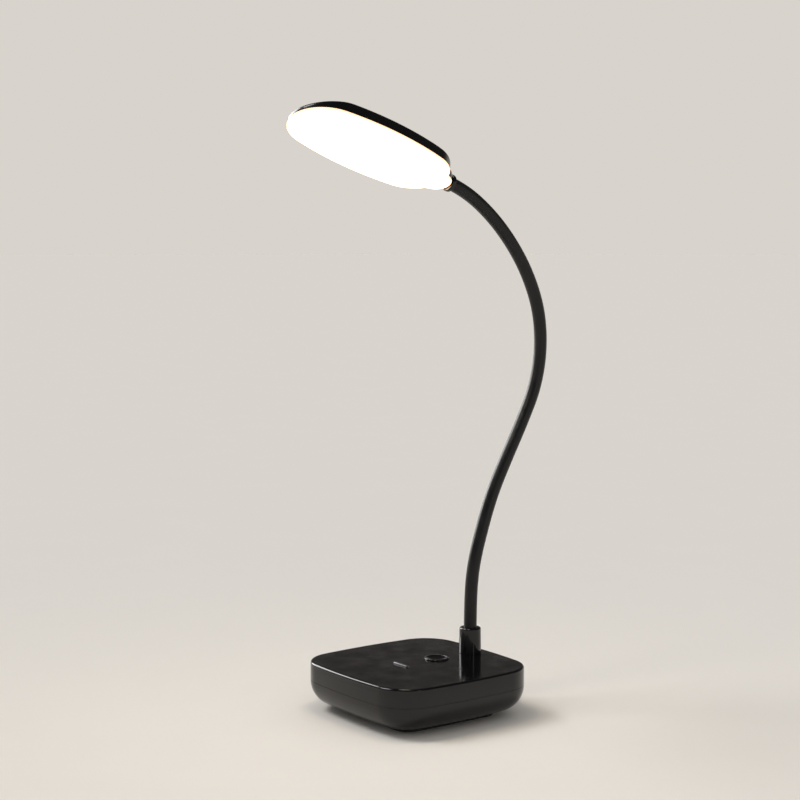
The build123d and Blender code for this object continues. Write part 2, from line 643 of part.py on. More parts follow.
def head_outline(inset=0.0):
    """The oval with its short nose at the neck, drawn in by inset; the nose's tip is at the origin."""
    across, along, widest, farthest = oval_points(inset)
    middle = -NOSE_LENGTH - HEAD_LENGTH / 2
    with BuildSketch(Plane.XY, mode=Mode.PRIVATE) as outline:
        with BuildLine():
            ThreePointArc((across, middle + along), (0, middle + farthest), (-across, middle + along))
            ThreePointArc((-across, middle + along), (-widest, middle), (-across, middle - along))
            ThreePointArc((-across, middle - along), (0, middle - farthest), (across, middle - along))
            ThreePointArc((across, middle - along), (widest, middle), (across, middle + along))
        make_face()
        with Locations((0, -NOSE_RADIUS)):
            Circle(NOSE_RADIUS - inset)
        fillet(outline.vertices().sort_by(Axis.Y)[-2:], NOSE_BLEND + inset)
    return outline.sketch


def cover_side_view(inset=0.0):
    """The cover seen from the side, its top lowered by inset: flat, and sloping down towards both ends."""
    with BuildSketch(Plane.XY, mode=Mode.PRIVATE) as side_view:
        with BuildLine():
            Polyline(
                (0, RIM),
                (0, NOSE_TOP - inset),
                (NOSE_SLOPE_START, COVER_TOP - inset),
                (TIP_SLOPE_START, COVER_TOP - inset),
                (-NOSE_LENGTH - HEAD_LENGTH, TIP_TOP - inset),
                (-NOSE_LENGTH - HEAD_LENGTH, RIM),
                close=True,
            )
        make_face()
        fillet(side_view.vertices().group_by(Axis.Y)[-1], SLOPE_BLEND)
    return side_view.sketch


def top_rim(piece):
    """The edges round the top of a piece of the head, without those between the top's own faces."""
    tops = piece.faces().filter_by(lambda face: face.normal_at().dot(HEAD.z_dir) > 0.9)
    edges = tops.edges()
    return ShapeList([edge for edge in edges if edges.count(edge) == 1])


def light_board_outline():
    """The light board's rounded rectangle."""
    with BuildSketch(Plane.XY, mode=Mode.PRIVATE) as outline:
        with Locations((0, LED_BOARD_MIDDLE)):
            RectangleRounded(LED_BOARD[0], LED_BOARD[1], LED_BOARD_CORNER)
    return outline.sketch


def board_screw_places():
    """The four places where the light board is screwed to the cover."""
    across, along = LED_BOARD_SCREW
    return Locations(*[(u, LED_BOARD_MIDDLE + v) for u in (-across, across) for v in (-along, along)])


def led_places():
    """The grid of light-emitting diodes on the light board."""
    across = [LED_SPACING[0] * (column - (LED_COLUMNS - 1) / 2) for column in range(LED_COLUMNS)]
    along = [LED_BOARD_MIDDLE + LED_SPACING[1] * (row - (LED_ROWS - 1) / 2) for row in range(LED_ROWS)]
    return Locations(*[(u, v) for u in across for v in along])


# The head's ferrule: a cup on the last ball, and ears that are screwed to bosses in the head.
with BuildPart() as head_ferrule:
    cup_bore, cup_edge = cup_points()
    with BuildSketch(seat_plane(seats[-1], head_axis)):
        with BuildLine():
            RadiusArc(cup_bore, cup_edge, BALL_RADIUS + SEAT_GAP)
            Polyline(
                cup_edge,
                (LINK_END_RADIUS, SEAT_RIM),
                (LINK_END_RADIUS, LINK_END_LENGTH),
                (LINK_RADIUS, LINK_END_LENGTH + 1),
                (LINK_RADIUS, STUB_LENGTH - 0.3),
                (LINK_END_RADIUS, STUB_LENGTH - 0.3),
                (LINK_END_RADIUS, STUB_LENGTH + EAR_START),
                (LINK_BORE, STUB_LENGTH + EAR_START),
                cup_bore,
            )
        make_face()
    revolve(axis=Axis(seats[-1], head_axis))
    with BuildSketch(HEAD.offset(-EAR_THICKNESS / 2)):
        add(head_outline(COVER_WALL + 0.3))
        with Locations((0, -(EAR_START + EAR_END) / 2)):
            Rectangle(EAR_WIDTH, EAR_END - EAR_START + 1, mode=Mode.INTERSECT)
        with Locations((0, -EAR_END)):
            Rectangle(2 * LINK_BORE + 0.6, 2 * EAR_END, mode=Mode.SUBTRACT)
        with ear_screws():
            Circle(SMALL_SCREW_RADIUS + 0.15, mode=Mode.SUBTRACT)
    extrude(amount=EAR_THICKNESS)

with BuildPart() as head_hollow:
    with BuildSketch(HEAD.offset(RIM)):
        add(head_outline(COVER_WALL))
    extrude(amount=CEILING - RIM)
    with BuildSketch(HEAD_SIDE):
        add(cover_side_view(COVER_WALL))
    extrude(amount=HEAD_WIDTH, both=True, mode=Mode.INTERSECT)
    fillet(top_rim(head_hollow), COVER_EDGE_RADIUS - COVER_WALL)

with BuildPart() as head_cover:
    with BuildSketch(HEAD.offset(RIM)):
        add(head_outline())
    extrude(amount=COVER_TOP - RIM)
    with BuildSketch(HEAD_SIDE):
        add(cover_side_view())
    extrude(amount=HEAD_WIDTH, both=True, mode=Mode.INTERSECT)
    fillet(top_rim(head_cover), COVER_EDGE_RADIUS)
    add(head_hollow.part, mode=Mode.SUBTRACT)
    # Bosses for the neck's ears and for the light board.
    with BuildSketch(HEAD.offset(EAR_THICKNESS / 2)):
        with ear_screws():
            Circle(1.6)
    extrude(amount=CEILING - EAR_THICKNESS / 2 + OVERLAP)
    with BuildSketch(HEAD.offset(LED_BOARD_TOP)):
        with board_screw_places():
            Circle(1.8)
    extrude(amount=CEILING - LED_BOARD_TOP + OVERLAP)
    with BuildSketch(HEAD.offset(EAR_THICKNESS / 2)):
        with ear_screws():
            Circle(SMALL_SCREW_RADIUS + 0.05)
    extrude(amount=EAR_SCREW_END + FIT - EAR_THICKNESS / 2, mode=Mode.SUBTRACT)
    with BuildSketch(HEAD.offset(LED_BOARD_TOP)):
        with board_screw_places():
            Circle(SMALL_SCREW_RADIUS + 0.05)
    extrude(amount=LED_BOARD_SCREW_END + FIT - LED_BOARD_TOP, mode=Mode.SUBTRACT)
    # The neck's hole through the nose.
    with BuildSketch(Plane(nose, z_dir=head_axis)):
        Circle(LINK_END_RADIUS + FIT)
    extrude(amount=2.0, both=True, mode=Mode.SUBTRACT)

with BuildPart() as diffuser:
    with BuildSketch(HEAD.offset(DIFFUSER_FACE)):
        add(head_outline())
    extrude(amount=RIM - DIFFUSER_FACE)
    fillet(diffuser.faces().sort_by(HEAD_UP)[0].edges(), DIFFUSER_EDGE_RADIUS)
    # The rib that snaps into the cover, clear of the neck's fixing.
    with BuildSketch(HEAD.offset(RIM)):
        add(head_outline(COVER_WALL + FIT))
        add(head_outline(COVER_WALL + FIT + 1.0), mode=Mode.SUBTRACT)
        with Locations((0, 0)):
            Rectangle(HEAD_WIDTH, 2 * RIB_BACK, mode=Mode.SUBTRACT)
    extrude(amount=COVER_RIB)

with BuildPart() as head_ring:
    with BuildSketch(Plane(nose, z_dir=head_axis * -1)):
        Circle(HEAD_RING_RADIUS)
        Circle(SLEEVE_RADIUS + FIT, mode=Mode.SUBTRACT)
    extrude(amount=HEAD_RING)
    fillet(head_ring.edges().filter_by(GeomType.CIRCLE).sort_by(SortBy.RADIUS)[-2:], 0.5)

with BuildPart() as led_board:
    with BuildSketch(HEAD.offset(LED_BOARD_BOTTOM)):
        add(light_board_outline())
        with board_screw_places():
            Circle(SMALL_SCREW_RADIUS + 0.15, mode=Mode.SUBTRACT)
    extrude(amount=LED_BOARD_TOP - LED_BOARD_BOTTOM)

with BuildPart() as leds:
    with BuildSketch(HEAD.offset(LED_BOARD_BOTTOM)):
        with led_places():
            Rectangle(LED_SIZE[0], LED_SIZE[1])
    extrude(amount=-LED_SIZE[2])

with BuildPart() as reflector_sheet:
    with BuildSketch(HEAD.offset(REFLECTOR_BOTTOM)):
        add(light_board_outline())
        with led_places():
            Rectangle(LED_SIZE[0] + 0.8, LED_SIZE[1] + 0.8, mode=Mode.SUBTRACT)
        with board_screw_places():
            Circle(2.0, mode=Mode.SUBTRACT)
        with Locations((0, HEAD_CONNECTOR_Y)):
            Rectangle(HEAD_CONNECTOR[0] + 1, HEAD_CONNECTOR[1] + 1, mode=Mode.SUBTRACT)
    extrude(amount=REFLECTOR)

with BuildPart() as head_connector:
    with BuildSketch(HEAD.offset(LED_BOARD_BOTTOM)):
        with Locations((0, HEAD_CONNECTOR_Y)):
            Rectangle(HEAD_CONNECTOR[0], HEAD_CONNECTOR[1])
    extrude(amount=-HEAD_CONNECTOR[2])

with BuildPart() as neck_screws:
    with BuildSketch(HEAD.offset(-EAR_THICKNESS / 2)):
        with ear_screws():
            Circle(HEAD_SCREW_HEAD[0])
    extrude(amount=-HEAD_SCREW_HEAD[1])
    with BuildSketch(HEAD.offset(-EAR_THICKNESS / 2)):
        with ear_screws():
            Circle(SMALL_SCREW_RADIUS)
    extrude(amount=EAR_SCREW_END + EAR_THICKNESS / 2)

with BuildPart() as led_board_screws:
    with BuildSketch(HEAD.offset(LED_BOARD_BOTTOM)):
        with board_screw_places():
            Circle(HEAD_SCREW_HEAD[0])
    extrude(amount=-HEAD_SCREW_HEAD[1])
    with BuildSketch(HEAD.offset(LED_BOARD_BOTTOM)):
        with board_screw_places():
            Circle(SMALL_SCREW_RADIUS)
    extrude(amount=LED_BOARD_SCREW_END - LED_BOARD_BOTTOM)

# --- Files ----------------------------------------------------------------------------------------------------
pieces = {
    "base_top_cover": base_top_cover,
    "base_lower_shell": base_lower_shell,
    "foot_pad": foot_pad,
    "base_screws": base_screws,
    "ballast_weight": ballast_weight,
    "ballast_screws": ballast_screws,
    "battery_tape": battery_tape,
    "battery_cell": battery_cell,
    "main_board": main_board,
    "board_screws": board_screws,
    "charge_port": charge_port,
    "switch_body": switch_body,
    "switch_plunger": switch_plunger,
    "power_button": power_button,
    "charge_light_pipe": charge_light_pipe,
    "charge_leds": charge_leds,
    "battery_connector": battery_connector,
    "lead_connector": lead_connector,
    "collar": collar,
    "neck_ferrule": neck_ferrule,
    "neck_washer": neck_washer,
    "neck_nut": neck_nut,
    "neck_sleeve": neck_sleeve,
    "neck_lead": neck_lead,
    "battery_lead": battery_lead,
    "head_ferrule": head_ferrule,
    "head_ring": head_ring,
    "head_cover": head_cover,
    "diffuser": diffuser,
    "led_board": led_board,
    "leds": leds,
    "reflector_sheet": reflector_sheet,
    "head_connector": head_connector,
    "neck_screws": neck_screws,
    "led_board_screws": led_board_screws,
}
for node, piece in pieces.items():
    piece.part.label = node
    export_step(piece.part, f"parts/{node}.step")
for number, link in enumerate(links, start=1):
    link.label = f"neck_link_{number:02d}"
    export_step(link, f"parts/neck_link_{number:02d}.step")
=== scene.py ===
import json
import math

import bmesh
import bpy
from mathutils import Matrix, Vector

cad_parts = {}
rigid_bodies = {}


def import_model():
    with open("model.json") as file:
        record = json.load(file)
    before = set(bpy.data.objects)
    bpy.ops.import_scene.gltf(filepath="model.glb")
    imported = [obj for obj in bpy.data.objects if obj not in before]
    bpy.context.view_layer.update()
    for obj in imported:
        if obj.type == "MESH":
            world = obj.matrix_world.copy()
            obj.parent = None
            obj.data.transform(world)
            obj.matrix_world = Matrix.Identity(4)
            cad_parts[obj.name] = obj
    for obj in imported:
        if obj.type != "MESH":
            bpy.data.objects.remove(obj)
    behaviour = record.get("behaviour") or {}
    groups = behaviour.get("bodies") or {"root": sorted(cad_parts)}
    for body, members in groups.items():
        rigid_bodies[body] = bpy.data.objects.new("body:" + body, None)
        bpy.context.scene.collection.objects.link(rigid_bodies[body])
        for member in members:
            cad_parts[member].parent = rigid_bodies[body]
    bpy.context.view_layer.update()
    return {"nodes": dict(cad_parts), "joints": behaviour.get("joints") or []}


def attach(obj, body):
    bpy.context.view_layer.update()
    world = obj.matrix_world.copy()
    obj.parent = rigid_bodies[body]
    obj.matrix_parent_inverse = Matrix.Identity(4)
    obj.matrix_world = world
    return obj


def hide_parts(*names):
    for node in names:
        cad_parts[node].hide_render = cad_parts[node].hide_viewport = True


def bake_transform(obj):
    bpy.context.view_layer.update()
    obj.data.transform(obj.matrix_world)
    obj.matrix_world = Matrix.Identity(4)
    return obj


# Cordless gooseneck desk lamp. Lengths in the named values are millimetres and turn to metres in the meshes.
MM = 0.001

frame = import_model()

# --- Sizes shared with the solids -----------------------------------------------------------------
BASE_WIDTH = 100.0
SIDE_BOW = 3.2
CORNER_RADIUS = 21.3
BASE_TOP = 28.0
PARTING_Z = 17.6
SHELL_BOTTOM = 3.0
TOP_EDGE_RADIUS = 1.2
UNDERSIDE_RADIUS = 14.0
WALL = 2.0
PLATE_UNDER = 25.8
FLOOR_Z = 5.0
LIP = 1.4
LIP_INSET = 1.2
RABBET_INSET = 1.1
PAD_HALF = 33.0
PAD_CORNER = 9.0
PAD_RECESS = 0.6
PAD_FIT = 0.2
PAD_EDGE = 0.4
POST_OFFSET = 27.0
POST = (3.5, 1.5)  # radius and bore
POST_TIP, POST_BORE_END = 12.1, 22.0
BOARD_POST_PLACE = (30.0, 15.5)
BOARD_POST = (2.4, 1.0)
BOARD_POST_TIP, BOARD_POST_BORE_END = 19.4, 24.4
WEIGHT_BOSS_Y = 28.0
PARTING_GAP = 0.02  # half the hairline between the base's two halves
PARTING_BREAK = 0.05
WINDOW = (9.6, 3.8)
WINDOW_PLACE = (16.8, 21.0)  # X and Z in the back wall

NECK_Y = 38.4
BUTTON_Y = 14.0
BUTTON_RADIUS = 6.8
BUTTON_TOP = 28.8
BUTTON_DISH_RADIUS = 14.0
BUTTON_DISH = 1.3
BUTTON_HOLE_RADIUS = 7.1
BUTTON_FLANGE_RADIUS = 8.0
BUTTON_FLANGE_BOTTOM, BUTTON_FLANGE_TOP = 24.5, 25.3
BUTTON_STEM = (2.0, 23.9)  # radius and lower end
LIP_OUTER, LIP_INNER = 0.5, 0.25  # the roundings of the button's raised lip
LAMP_BAR_Y = -11.0
LAMP_BAR = (13.0, 2.0)
LAMP_BAR_TOP = 28.8
LAMP_BAR_FOOT = 20.3
LAMP_BAR_FLANGE = 0.8
LAMP_BAR_ROUND = 0.6
LAMP_BAR_FIT = 0.2
NECK_HOLE_RADIUS = 4.15
COLLAR_TOP = 43.0
COLLAR_ROUND = 1.0
COLLAR_BORE = (5.2, 1.7)  # the recess in the foot, its radius and depth
COLLAR_FOOT_RADIUS = 6.35
COLLAR_TOP_RADIUS = 6.15
SLEEVE_RADIUS = 3.7
SLEEVE_WALL = 0.6
SLEEVE_START = 30.0
SLEEVE_FIT = 0.1
LEAD_RADIUS = 0.5
LEAD_WALL = 0.35
LEAD_COURSE = ((-9.0, 19.8, 21.4), (-9.0, 26.0, 21.4), (-4.5, 30.0, 15.0), (0.0, NECK_Y, 15.0))
LEAD_PAST_NOSE = 14.5
STUB_LENGTH = 13.0

HEAD_PITCH = 20.0
HEAD_ROLL = 19.0
HEAD_LENGTH = 101.0
HEAD_WIDTH = 48.4
HEAD_END_RADIUS = 21.5
NOSE_LENGTH = 5.5
NOSE_RADIUS = 9.5
NOSE_BLEND = 2.5
DIFFUSER_FACE = -3.4
RIM = -2.4
COVER_TOP = 3.9
NOSE_TOP = 3.0
TIP_TOP = 0.4
NOSE_SLOPE_START = -26.0
TIP_SLOPE_START = -87.0
SLOPE_BLEND = 30.0
COVER_EDGE_RADIUS = 1.8
COVER_WALL = 1.4
HEAD_RING_RADIUS = 5.0
HEAD_RING = 2.6

BACKDROP_TURN = (0.135, 0.215)  # where the backdrop starts and ends darkening, as a direction's upward share


# --- Outlines: lists of (x, y, normal x, normal y) ------------------------------------------------
def arc(centre, radius, start, end, steps, hollow=False):
    """Points on an arc from start to end in radians, without the last; hollow turns the normals inwards."""
    sign = -1 if hollow else 1
    points = []
    for step in range(steps):
        angle = start + (end - start) * step / steps
        across, up = math.cos(angle), math.sin(angle)
        points.append((centre[0] + radius * across, centre[1] + radius * up, sign * across, sign * up))
    return points


def circle(radius, x=0.0, y=0.0, steps=64):
    return arc((x, y), radius, 0, 2 * math.pi, steps)


def rounded_rectangle(half_x, half_y, corner, steps=10):
    points = []
    for quarter, (x, y) in enumerate(((1, 1), (-1, 1), (-1, -1), (1, -1))):
        start = quarter * math.pi / 2
        centre = (x * (half_x - corner), y * (half_y - corner))
        points += arc(centre, corner, start, start + math.pi / 2, steps)
        points += arc(centre, corner, start + math.pi / 2, start + math.pi / 2 + 0.001, 1)
    return points


def base_outline():
    """The base's rounded square, whose four sides bow outwards."""
    half = BASE_WIDTH / 2
    bow_radius = ((half - SIDE_BOW) ** 2 + SIDE_BOW**2) / (2 * SIDE_BOW)
    bow_centre = bow_radius - half
    reach = bow_radius - CORNER_RADIUS
    corner = (math.sqrt(2 * reach**2 - bow_centre**2) - bow_centre) / 2
    spread = math.atan2(corner, bow_centre + corner)
    side = arc((0, bow_centre), bow_radius, -math.pi / 2 - spread, -math.pi / 2 + spread, 20)
    side += arc((corner, -corner), CORNER_RADIUS, -math.pi / 2 + spread, -spread, 24)
    points = []
    for quarter in range(4):
        turn = Matrix.Rotation(quarter * math.pi / 2, 2)
        for x, y, nx, ny in side:
            points.append((*(turn @ Vector((x, y))), *(turn @ Vector((nx, ny)))))
    return points


def head_outline():
    """The oval, whose end arcs run into shallow side arcs, with a short nose that ends at the origin."""
    middle = -NOSE_LENGTH - HEAD_LENGTH / 2
    reach = HEAD_LENGTH / 2 - HEAD_END_RADIUS
    rest = HEAD_WIDTH / 2 - HEAD_END_RADIUS
    side_radius = HEAD_WIDTH / 2 + (reach**2 - rest**2) / (2 * rest)
    side_centre = (HEAD_WIDTH / 2 - side_radius, middle)
    lean = math.asin(reach / (side_radius - HEAD_END_RADIUS))
    # The hollow curve touches the nose and the near end of the oval from outside.
    to_nose, to_end = NOSE_RADIUS + NOSE_BLEND, HEAD_END_RADIUS + NOSE_BLEND
    end_y = -NOSE_LENGTH - HEAD_END_RADIUS
    apart = -NOSE_RADIUS - end_y
    blend_y = (to_end**2 - to_nose**2 - apart**2) / (2 * apart) - NOSE_RADIUS
    blend_x = math.sqrt(to_nose**2 - (blend_y + NOSE_RADIUS) ** 2)
    meet = math.atan2(blend_y + NOSE_RADIUS, blend_x)
    leave = math.atan2(blend_y - end_y, blend_x)
    half = arc((0, -NOSE_RADIUS), NOSE_RADIUS, math.pi / 2, meet, 24)
    half += arc((blend_x, blend_y), NOSE_BLEND, meet - math.pi, leave - math.pi, 12, hollow=True)
    half += arc((0, end_y), HEAD_END_RADIUS, leave, lean, 24)
    half += arc(side_centre, side_radius, lean, -lean, 48)
    half += arc((0, 2 * middle - end_y), HEAD_END_RADIUS, -lean, -math.pi / 2, 40)
    half.append((0.0, -NOSE_LENGTH - HEAD_LENGTH, 0.0, -1.0))
    mirrored = [(-x, y, -nx, ny) for x, y, nx, ny in half[1:-1]]
    return half + mirrored[::-1]


def ramp(past, slope, radius):
    """How far a surface has fallen at this distance past the rounded bend where it starts to slope."""
    reach = radius * math.tan(math.atan(slope) / 2)
    if past <= -reach:
        return 0.0
    if past >= reach:
        return slope * past
    return slope * (past + reach) ** 2 / (4 * reach)


def cover_top(y):
    """The height of the head's top: flat, a little lower at the nose and much lower at the tip."""
    to_nose = (COVER_TOP - NOSE_TOP) / -NOSE_SLOPE_START
    to_tip = (COVER_TOP - TIP_TOP) / (TIP_SLOPE_START + NOSE_LENGTH + HEAD_LENGTH)
    fall = ramp(y - NOSE_SLOPE_START, to_nose, SLOPE_BLEND) + ramp(TIP_SLOPE_START - y, to_tip, SLOPE_BLEND)
    return COVER_TOP - fall


def slot_outline(length, width):
    """A bar with round ends along X."""
    reach = (length - width) / 2
    right = arc((reach, 0), width / 2, -math.pi / 2, math.pi / 2, 12)
    left = arc((-reach, 0), width / 2, math.pi / 2, 3 * math.pi / 2, 12)
    return right + [(reach, width / 2, 0, 1)] + left + [(-reach, -width / 2, 0, -1)]


# --- Meshes ---------------------------------------------------------------------------------------
UPRIGHT = Matrix.Identity(4)


def ring(outline, inset, height, place=UPRIGHT, top=None):
    """The outline drawn in by inset, as points in metres, at this height or this far below a top."""
    loop = []
    for x, y, nx, ny in outline:
        across, along = x - inset * nx, y - inset * ny
        level = height if top is None else top(along) - height
        loop.append(place @ Vector((across, along, level)) * MM)
    return loop


def quarter_round(outline, radius, inset, height, start, end, steps, place=UPRIGHT, top=None):
    """Rings on a rolled edge about (inset, height), from start to end in degrees above the horizontal; with a
    top, height is how far the edge's centre is below it."""
    rings = []
    for step in range(steps + 1):
        angle = math.radians(start + (end - start) * step / steps)
        across = inset - radius * math.cos(angle)
        rise = radius * math.sin(angle)
        rings.append(ring(outline, across, height + rise if top is None else height - rise, place, top))
    return rings


def closed_mesh(name, chains, plates=(), ruled=(), sharp=32.0):
    """A closed mesh: faces between the rings of each chain, a flat plate between the loops of each plate, and
    strips straight across each ruled loop, whose second half mirrors its first."""
    shape = bmesh.new()
    made = {}

    def corners(loop):
        if id(loop) not in made:
            made[id(loop)] = [shape.verts.new(point) for point in loop]
        return made[id(loop)]

    for chain in chains:
        for near, far in zip(chain, chain[1:]):
            a, b = corners(near), corners(far)
            for i in range(len(a)):
                j = (i + 1) % len(a)
                shape.faces.new((a[i], a[j], b[j], b[i]))
    for plate in plates:
        rims = [corners(loop) for loop in plate]
        rim_edges = []
        for rim in rims:
            for i, corner in enumerate(rim):
                pair = (corner, rim[(i + 1) % len(rim)])
                rim_edges.append(shape.edges.get(pair) or shape.edges.new(pair))
        bmesh.ops.triangle_fill(shape, use_beauty=True, edges=rim_edges)
    for loop in ruled:
        rim = corners(loop)
        for i in range(len(rim) // 2):
            strip = [rim[i], rim[i + 1], rim[-i - 1], rim[-i]]
            shape.faces.new(list(dict.fromkeys(strip)))
    bmesh.ops.remove_doubles(shape, verts=shape.verts, dist=1e-8)
    bmesh.ops.recalc_face_normals(shape, faces=shape.faces)
    for face in shape.faces:
        face.smooth = True
    for edge in shape.edges:
        edge.smooth = edge.calc_face_angle(0.0) < math.radians(sharp)
    data = bpy.data.meshes.new(name)
    shape.to_mesh(data)
    shape.free()
    piece = bpy.data.objects.new(name, data)
    bpy.context.scene.collection.objects.link(piece)
    return piece


def turned(name, profile, place=UPRIGHT, steps=96, hoop=True):
    """A piece turned on a lathe from (radius, height) points; a hoop's profile closes on itself."""
    rings = [ring(circle(radius, steps=steps), 0, height, place) for radius, height in profile]
    if hoop:
        return closed_mesh(name, [rings + rings[:1]])
    return closed_mesh(name, [rings], [[rings[0]], [rings[-1]]])


# --- Materials ------------------------------------------------------------------------------------
def srgb(code):
    """An sRGB hex colour as linear values."""
    values = [int(code[i : i + 2], 16) / 255 for i in (1, 3, 5)]
    return (*[v / 12.92 if v <= 0.04045 else ((v + 0.055) / 1.055) ** 2.4 for v in values], 1.0)


def put(tree, kind, inputs=None, **settings):
    """Adds a node with its settings; each input takes a value or another node's socket."""
    made = tree.nodes.new(kind)
    for name, value in settings.items():
        setattr(made, name, value)
    for key, value in (inputs or {}).items():
        if isinstance(value, bpy.types.NodeSocket):
            tree.links.new(value, made.inputs[key])
        else:
            made.inputs[key].default_value = value
    return made


def finish(name, **whole_surface):
    """A new material: its tree, its shader with the values that hold all over, and Object coordinates."""
    material = bpy.data.materials.new(name)
    material.use_nodes = True
    tree = material.node_tree
    tree.nodes.clear()
    shader = put(tree, "ShaderNodeBsdfPrincipled")
    for socket, value in whole_surface.items():
        shader.inputs[socket.replace("_", " ")].default_value = value
    put(tree, "ShaderNodeOutputMaterial", {"Surface": shader.outputs[0]})
    place = put(tree, "ShaderNodeTexCoord").outputs["Object"]
    return material, tree, shader, place


def noise(tree, place, size, detail=2.0, roughness=0.5):
    """Noise whose patches are about this many millimetres across."""
    settings = {"Vector": place, "Scale": 1 / (size * MM), "Detail": detail, "Roughness": roughness}
    return put(tree, "ShaderNodeTexNoise", settings).outputs["Fac"]


def between(tree, value, low, high, from_low=0.3, from_high=0.7):
    """The value spread from low to high."""
    limits = {"Value": value, "From Min": from_low, "From Max": from_high, "To Min": low, "To Max": high}
    return put(tree, "ShaderNodeMapRange", limits).outputs[0]


def two_tone(tree, amount, first, second):
    """A colour between two sRGB hex colours."""
    factor, a, b = 0, 6, 7  # the sockets that a colour mix uses
    ends = {factor: amount, a: srgb(first), b: srgb(second)}
    return put(tree, "ShaderNodeMix", ends, data_type="RGBA").outputs[2]


def relief(tree, shader, height, depth, strength=1.0):
    """Bumps of this depth in millimetres."""
    bump = {"Height": height, "Distance": depth * MM, "Strength": strength}
    tree.links.new(put(tree, "ShaderNodeBump", bump).outputs[0], shader.inputs["Normal"])


def moulded_abs(name, dark, dusty, low, high):
    """Black ABS from a polished mould: near-black and mirror-like, with a faint ripple from the moulding, and
    handling that dulls the gloss in patches and leaves a little dust."""
    material, tree, shader, place = finish(name, IOR=1.5, Specular_IOR_Level=0.42)
    smudge = noise(tree, place, 14.0, 4.0, 0.6)
    dust = noise(tree, place, 0.9, 3.0, 0.7)
    tree.links.new(between(tree, smudge, low, high), shader.inputs["Roughness"])
    colour = two_tone(tree, between(tree, dust, 0.0, 1.0, 0.62, 0.8), dark, dusty)
    tree.links.new(colour, shader.inputs["Base Color"])
    relief(tree, shader, noise(tree, place, 7.0, 1.0), 0.012)
    return material


gloss_abs = moulded_abs("gloss_black_abs", "#09090b", "#2a2927", 0.07, 0.17)
head_abs = moulded_abs("head_black_abs", "#0b0b0d", "#2b2a28", 0.16, 0.26)


def satin_silicone():
    """Extruded black silicone: a soft sheen that spreads each highlight, with a fine grain from the die."""
    material, tree, shader, place = finish(
        "satin_black_silicone", IOR=1.42, Specular_IOR_Level=0.42, Sheen_Weight=0.03
    )
    grain = noise(tree, place, 0.35, 2.0)
    wipe = noise(tree, place, 9.0, 3.0)
    tree.links.new(between(tree, wipe, 0.3, 0.42), shader.inputs["Roughness"])
    colour = two_tone(tree, between(tree, wipe, 0.0, 1.0), "#0b0b0d", "#131315")
    tree.links.new(colour, shader.inputs["Base Color"])
    relief(tree, shader, grain, 0.01)
    return material


silicone = satin_silicone()


def foot_rubber():
    """Matt black rubber sheet, pressed on a fabric plate: a fine even grain and grey scuffs."""
    material, tree, shader, place = finish("matt_foot_rubber", IOR=1.5, Roughness=0.82)
    scuff = between(tree, noise(tree, place, 6.0, 5.0, 0.7), 0.0, 1.0, 0.5, 0.8)
    tree.links.new(two_tone(tree, scuff, "#1b1b1b", "#3a3937"), shader.inputs["Base Color"])
    relief(tree, shader, noise(tree, place, 0.5, 2.0), 0.05)
    return material


def zinc_plate():
    """Bright zinc on turned steel: a pale cool metal, a little cloudy, with fine tool marks."""
    material, tree, shader, place = finish("zinc_plated_steel", Metallic=1.0)
    cloud = noise(tree, place, 2.5, 3.0)
    tree.links.new(two_tone(tree, cloud, "#b9bbb9", "#d6d5cd"), shader.inputs["Base Color"])
    tree.links.new(between(tree, cloud, 0.24, 0.4), shader.inputs["Roughness"])
    relief(tree, shader, noise(tree, place, 0.2, 1.0), 0.004)
    return material


def painted_steel():
    """A cut steel plate in grey primer: matt, slightly orange-peeled."""
    material, tree, shader, place = finish("grey_primed_steel", IOR=1.5, Roughness=0.6)
    patch = noise(tree, place, 5.0, 3.0)
    tree.links.new(two_tone(tree, patch, "#77797b", "#8b8c8c"), shader.inputs["Base Color"])
    relief(tree, shader, noise(tree, place, 0.8, 2.0), 0.03)
    return material


def foam_tape():
    """Double-sided foam tape: off-white, soft and full of tiny cells."""
    material, tree, shader, place = finish("white_foam_tape", IOR=1.4, Roughness=0.95)
    cells = put(tree, "ShaderNodeTexVoronoi", {"Vector": place, "Scale": 1 / (0.6 * MM)}).outputs[0]
    tree.links.new(two_tone(tree, cells, "#f1eee4", "#d9d5c6"), shader.inputs["Base Color"])
    relief(tree, shader, cells, 0.06)
    return material


def pouch_foil():
    """Laminated aluminium foil round the cell: dull silver with soft dents."""
    material, tree, shader, place = finish("laminated_cell_foil", Metallic=1.0)
    dent = noise(tree, place, 8.0, 3.0)
    tree.links.new(two_tone(tree, dent, "#b4b8bd", "#cfd2d4"), shader.inputs["Base Color"])
    tree.links.new(between(tree, dent, 0.34, 0.46), shader.inputs["Roughness"])
    relief(tree, shader, dent, 0.12)
    return material


def board_lacquer(name, field, track):
    """Solder mask over copper on a glass laminate: a smooth lacquer whose tracks stand a shade lighter."""
    material, tree, shader, place = finish(name, IOR=1.55, Roughness=0.35)
    tracks = put(
        tree,
        "ShaderNodeTexBrick",
        {"Vector": place, "Scale": 1 / (9.0 * MM), "Mortar Size": 0.035, "Bias": 0.0},
        offset=0.37,
    ).outputs["Fac"]
    tree.links.new(two_tone(tree, tracks, field, track), shader.inputs["Base Color"])
    relief(tree, shader, tracks, 0.03)
    return material


def moulded_nylon(name, colour, shade):
    """Moulded nylon: half matt, with the fine spark texture of its mould."""
    material, tree, shader, place = finish(name, IOR=1.53, Roughness=0.5)
    tree.links.new(two_tone(tree, noise(tree, place, 1.5, 2.0), colour, shade), shader.inputs["Base Color"])
    relief(tree, shader, noise(tree, place, 0.25, 2.0), 0.01)
    return material


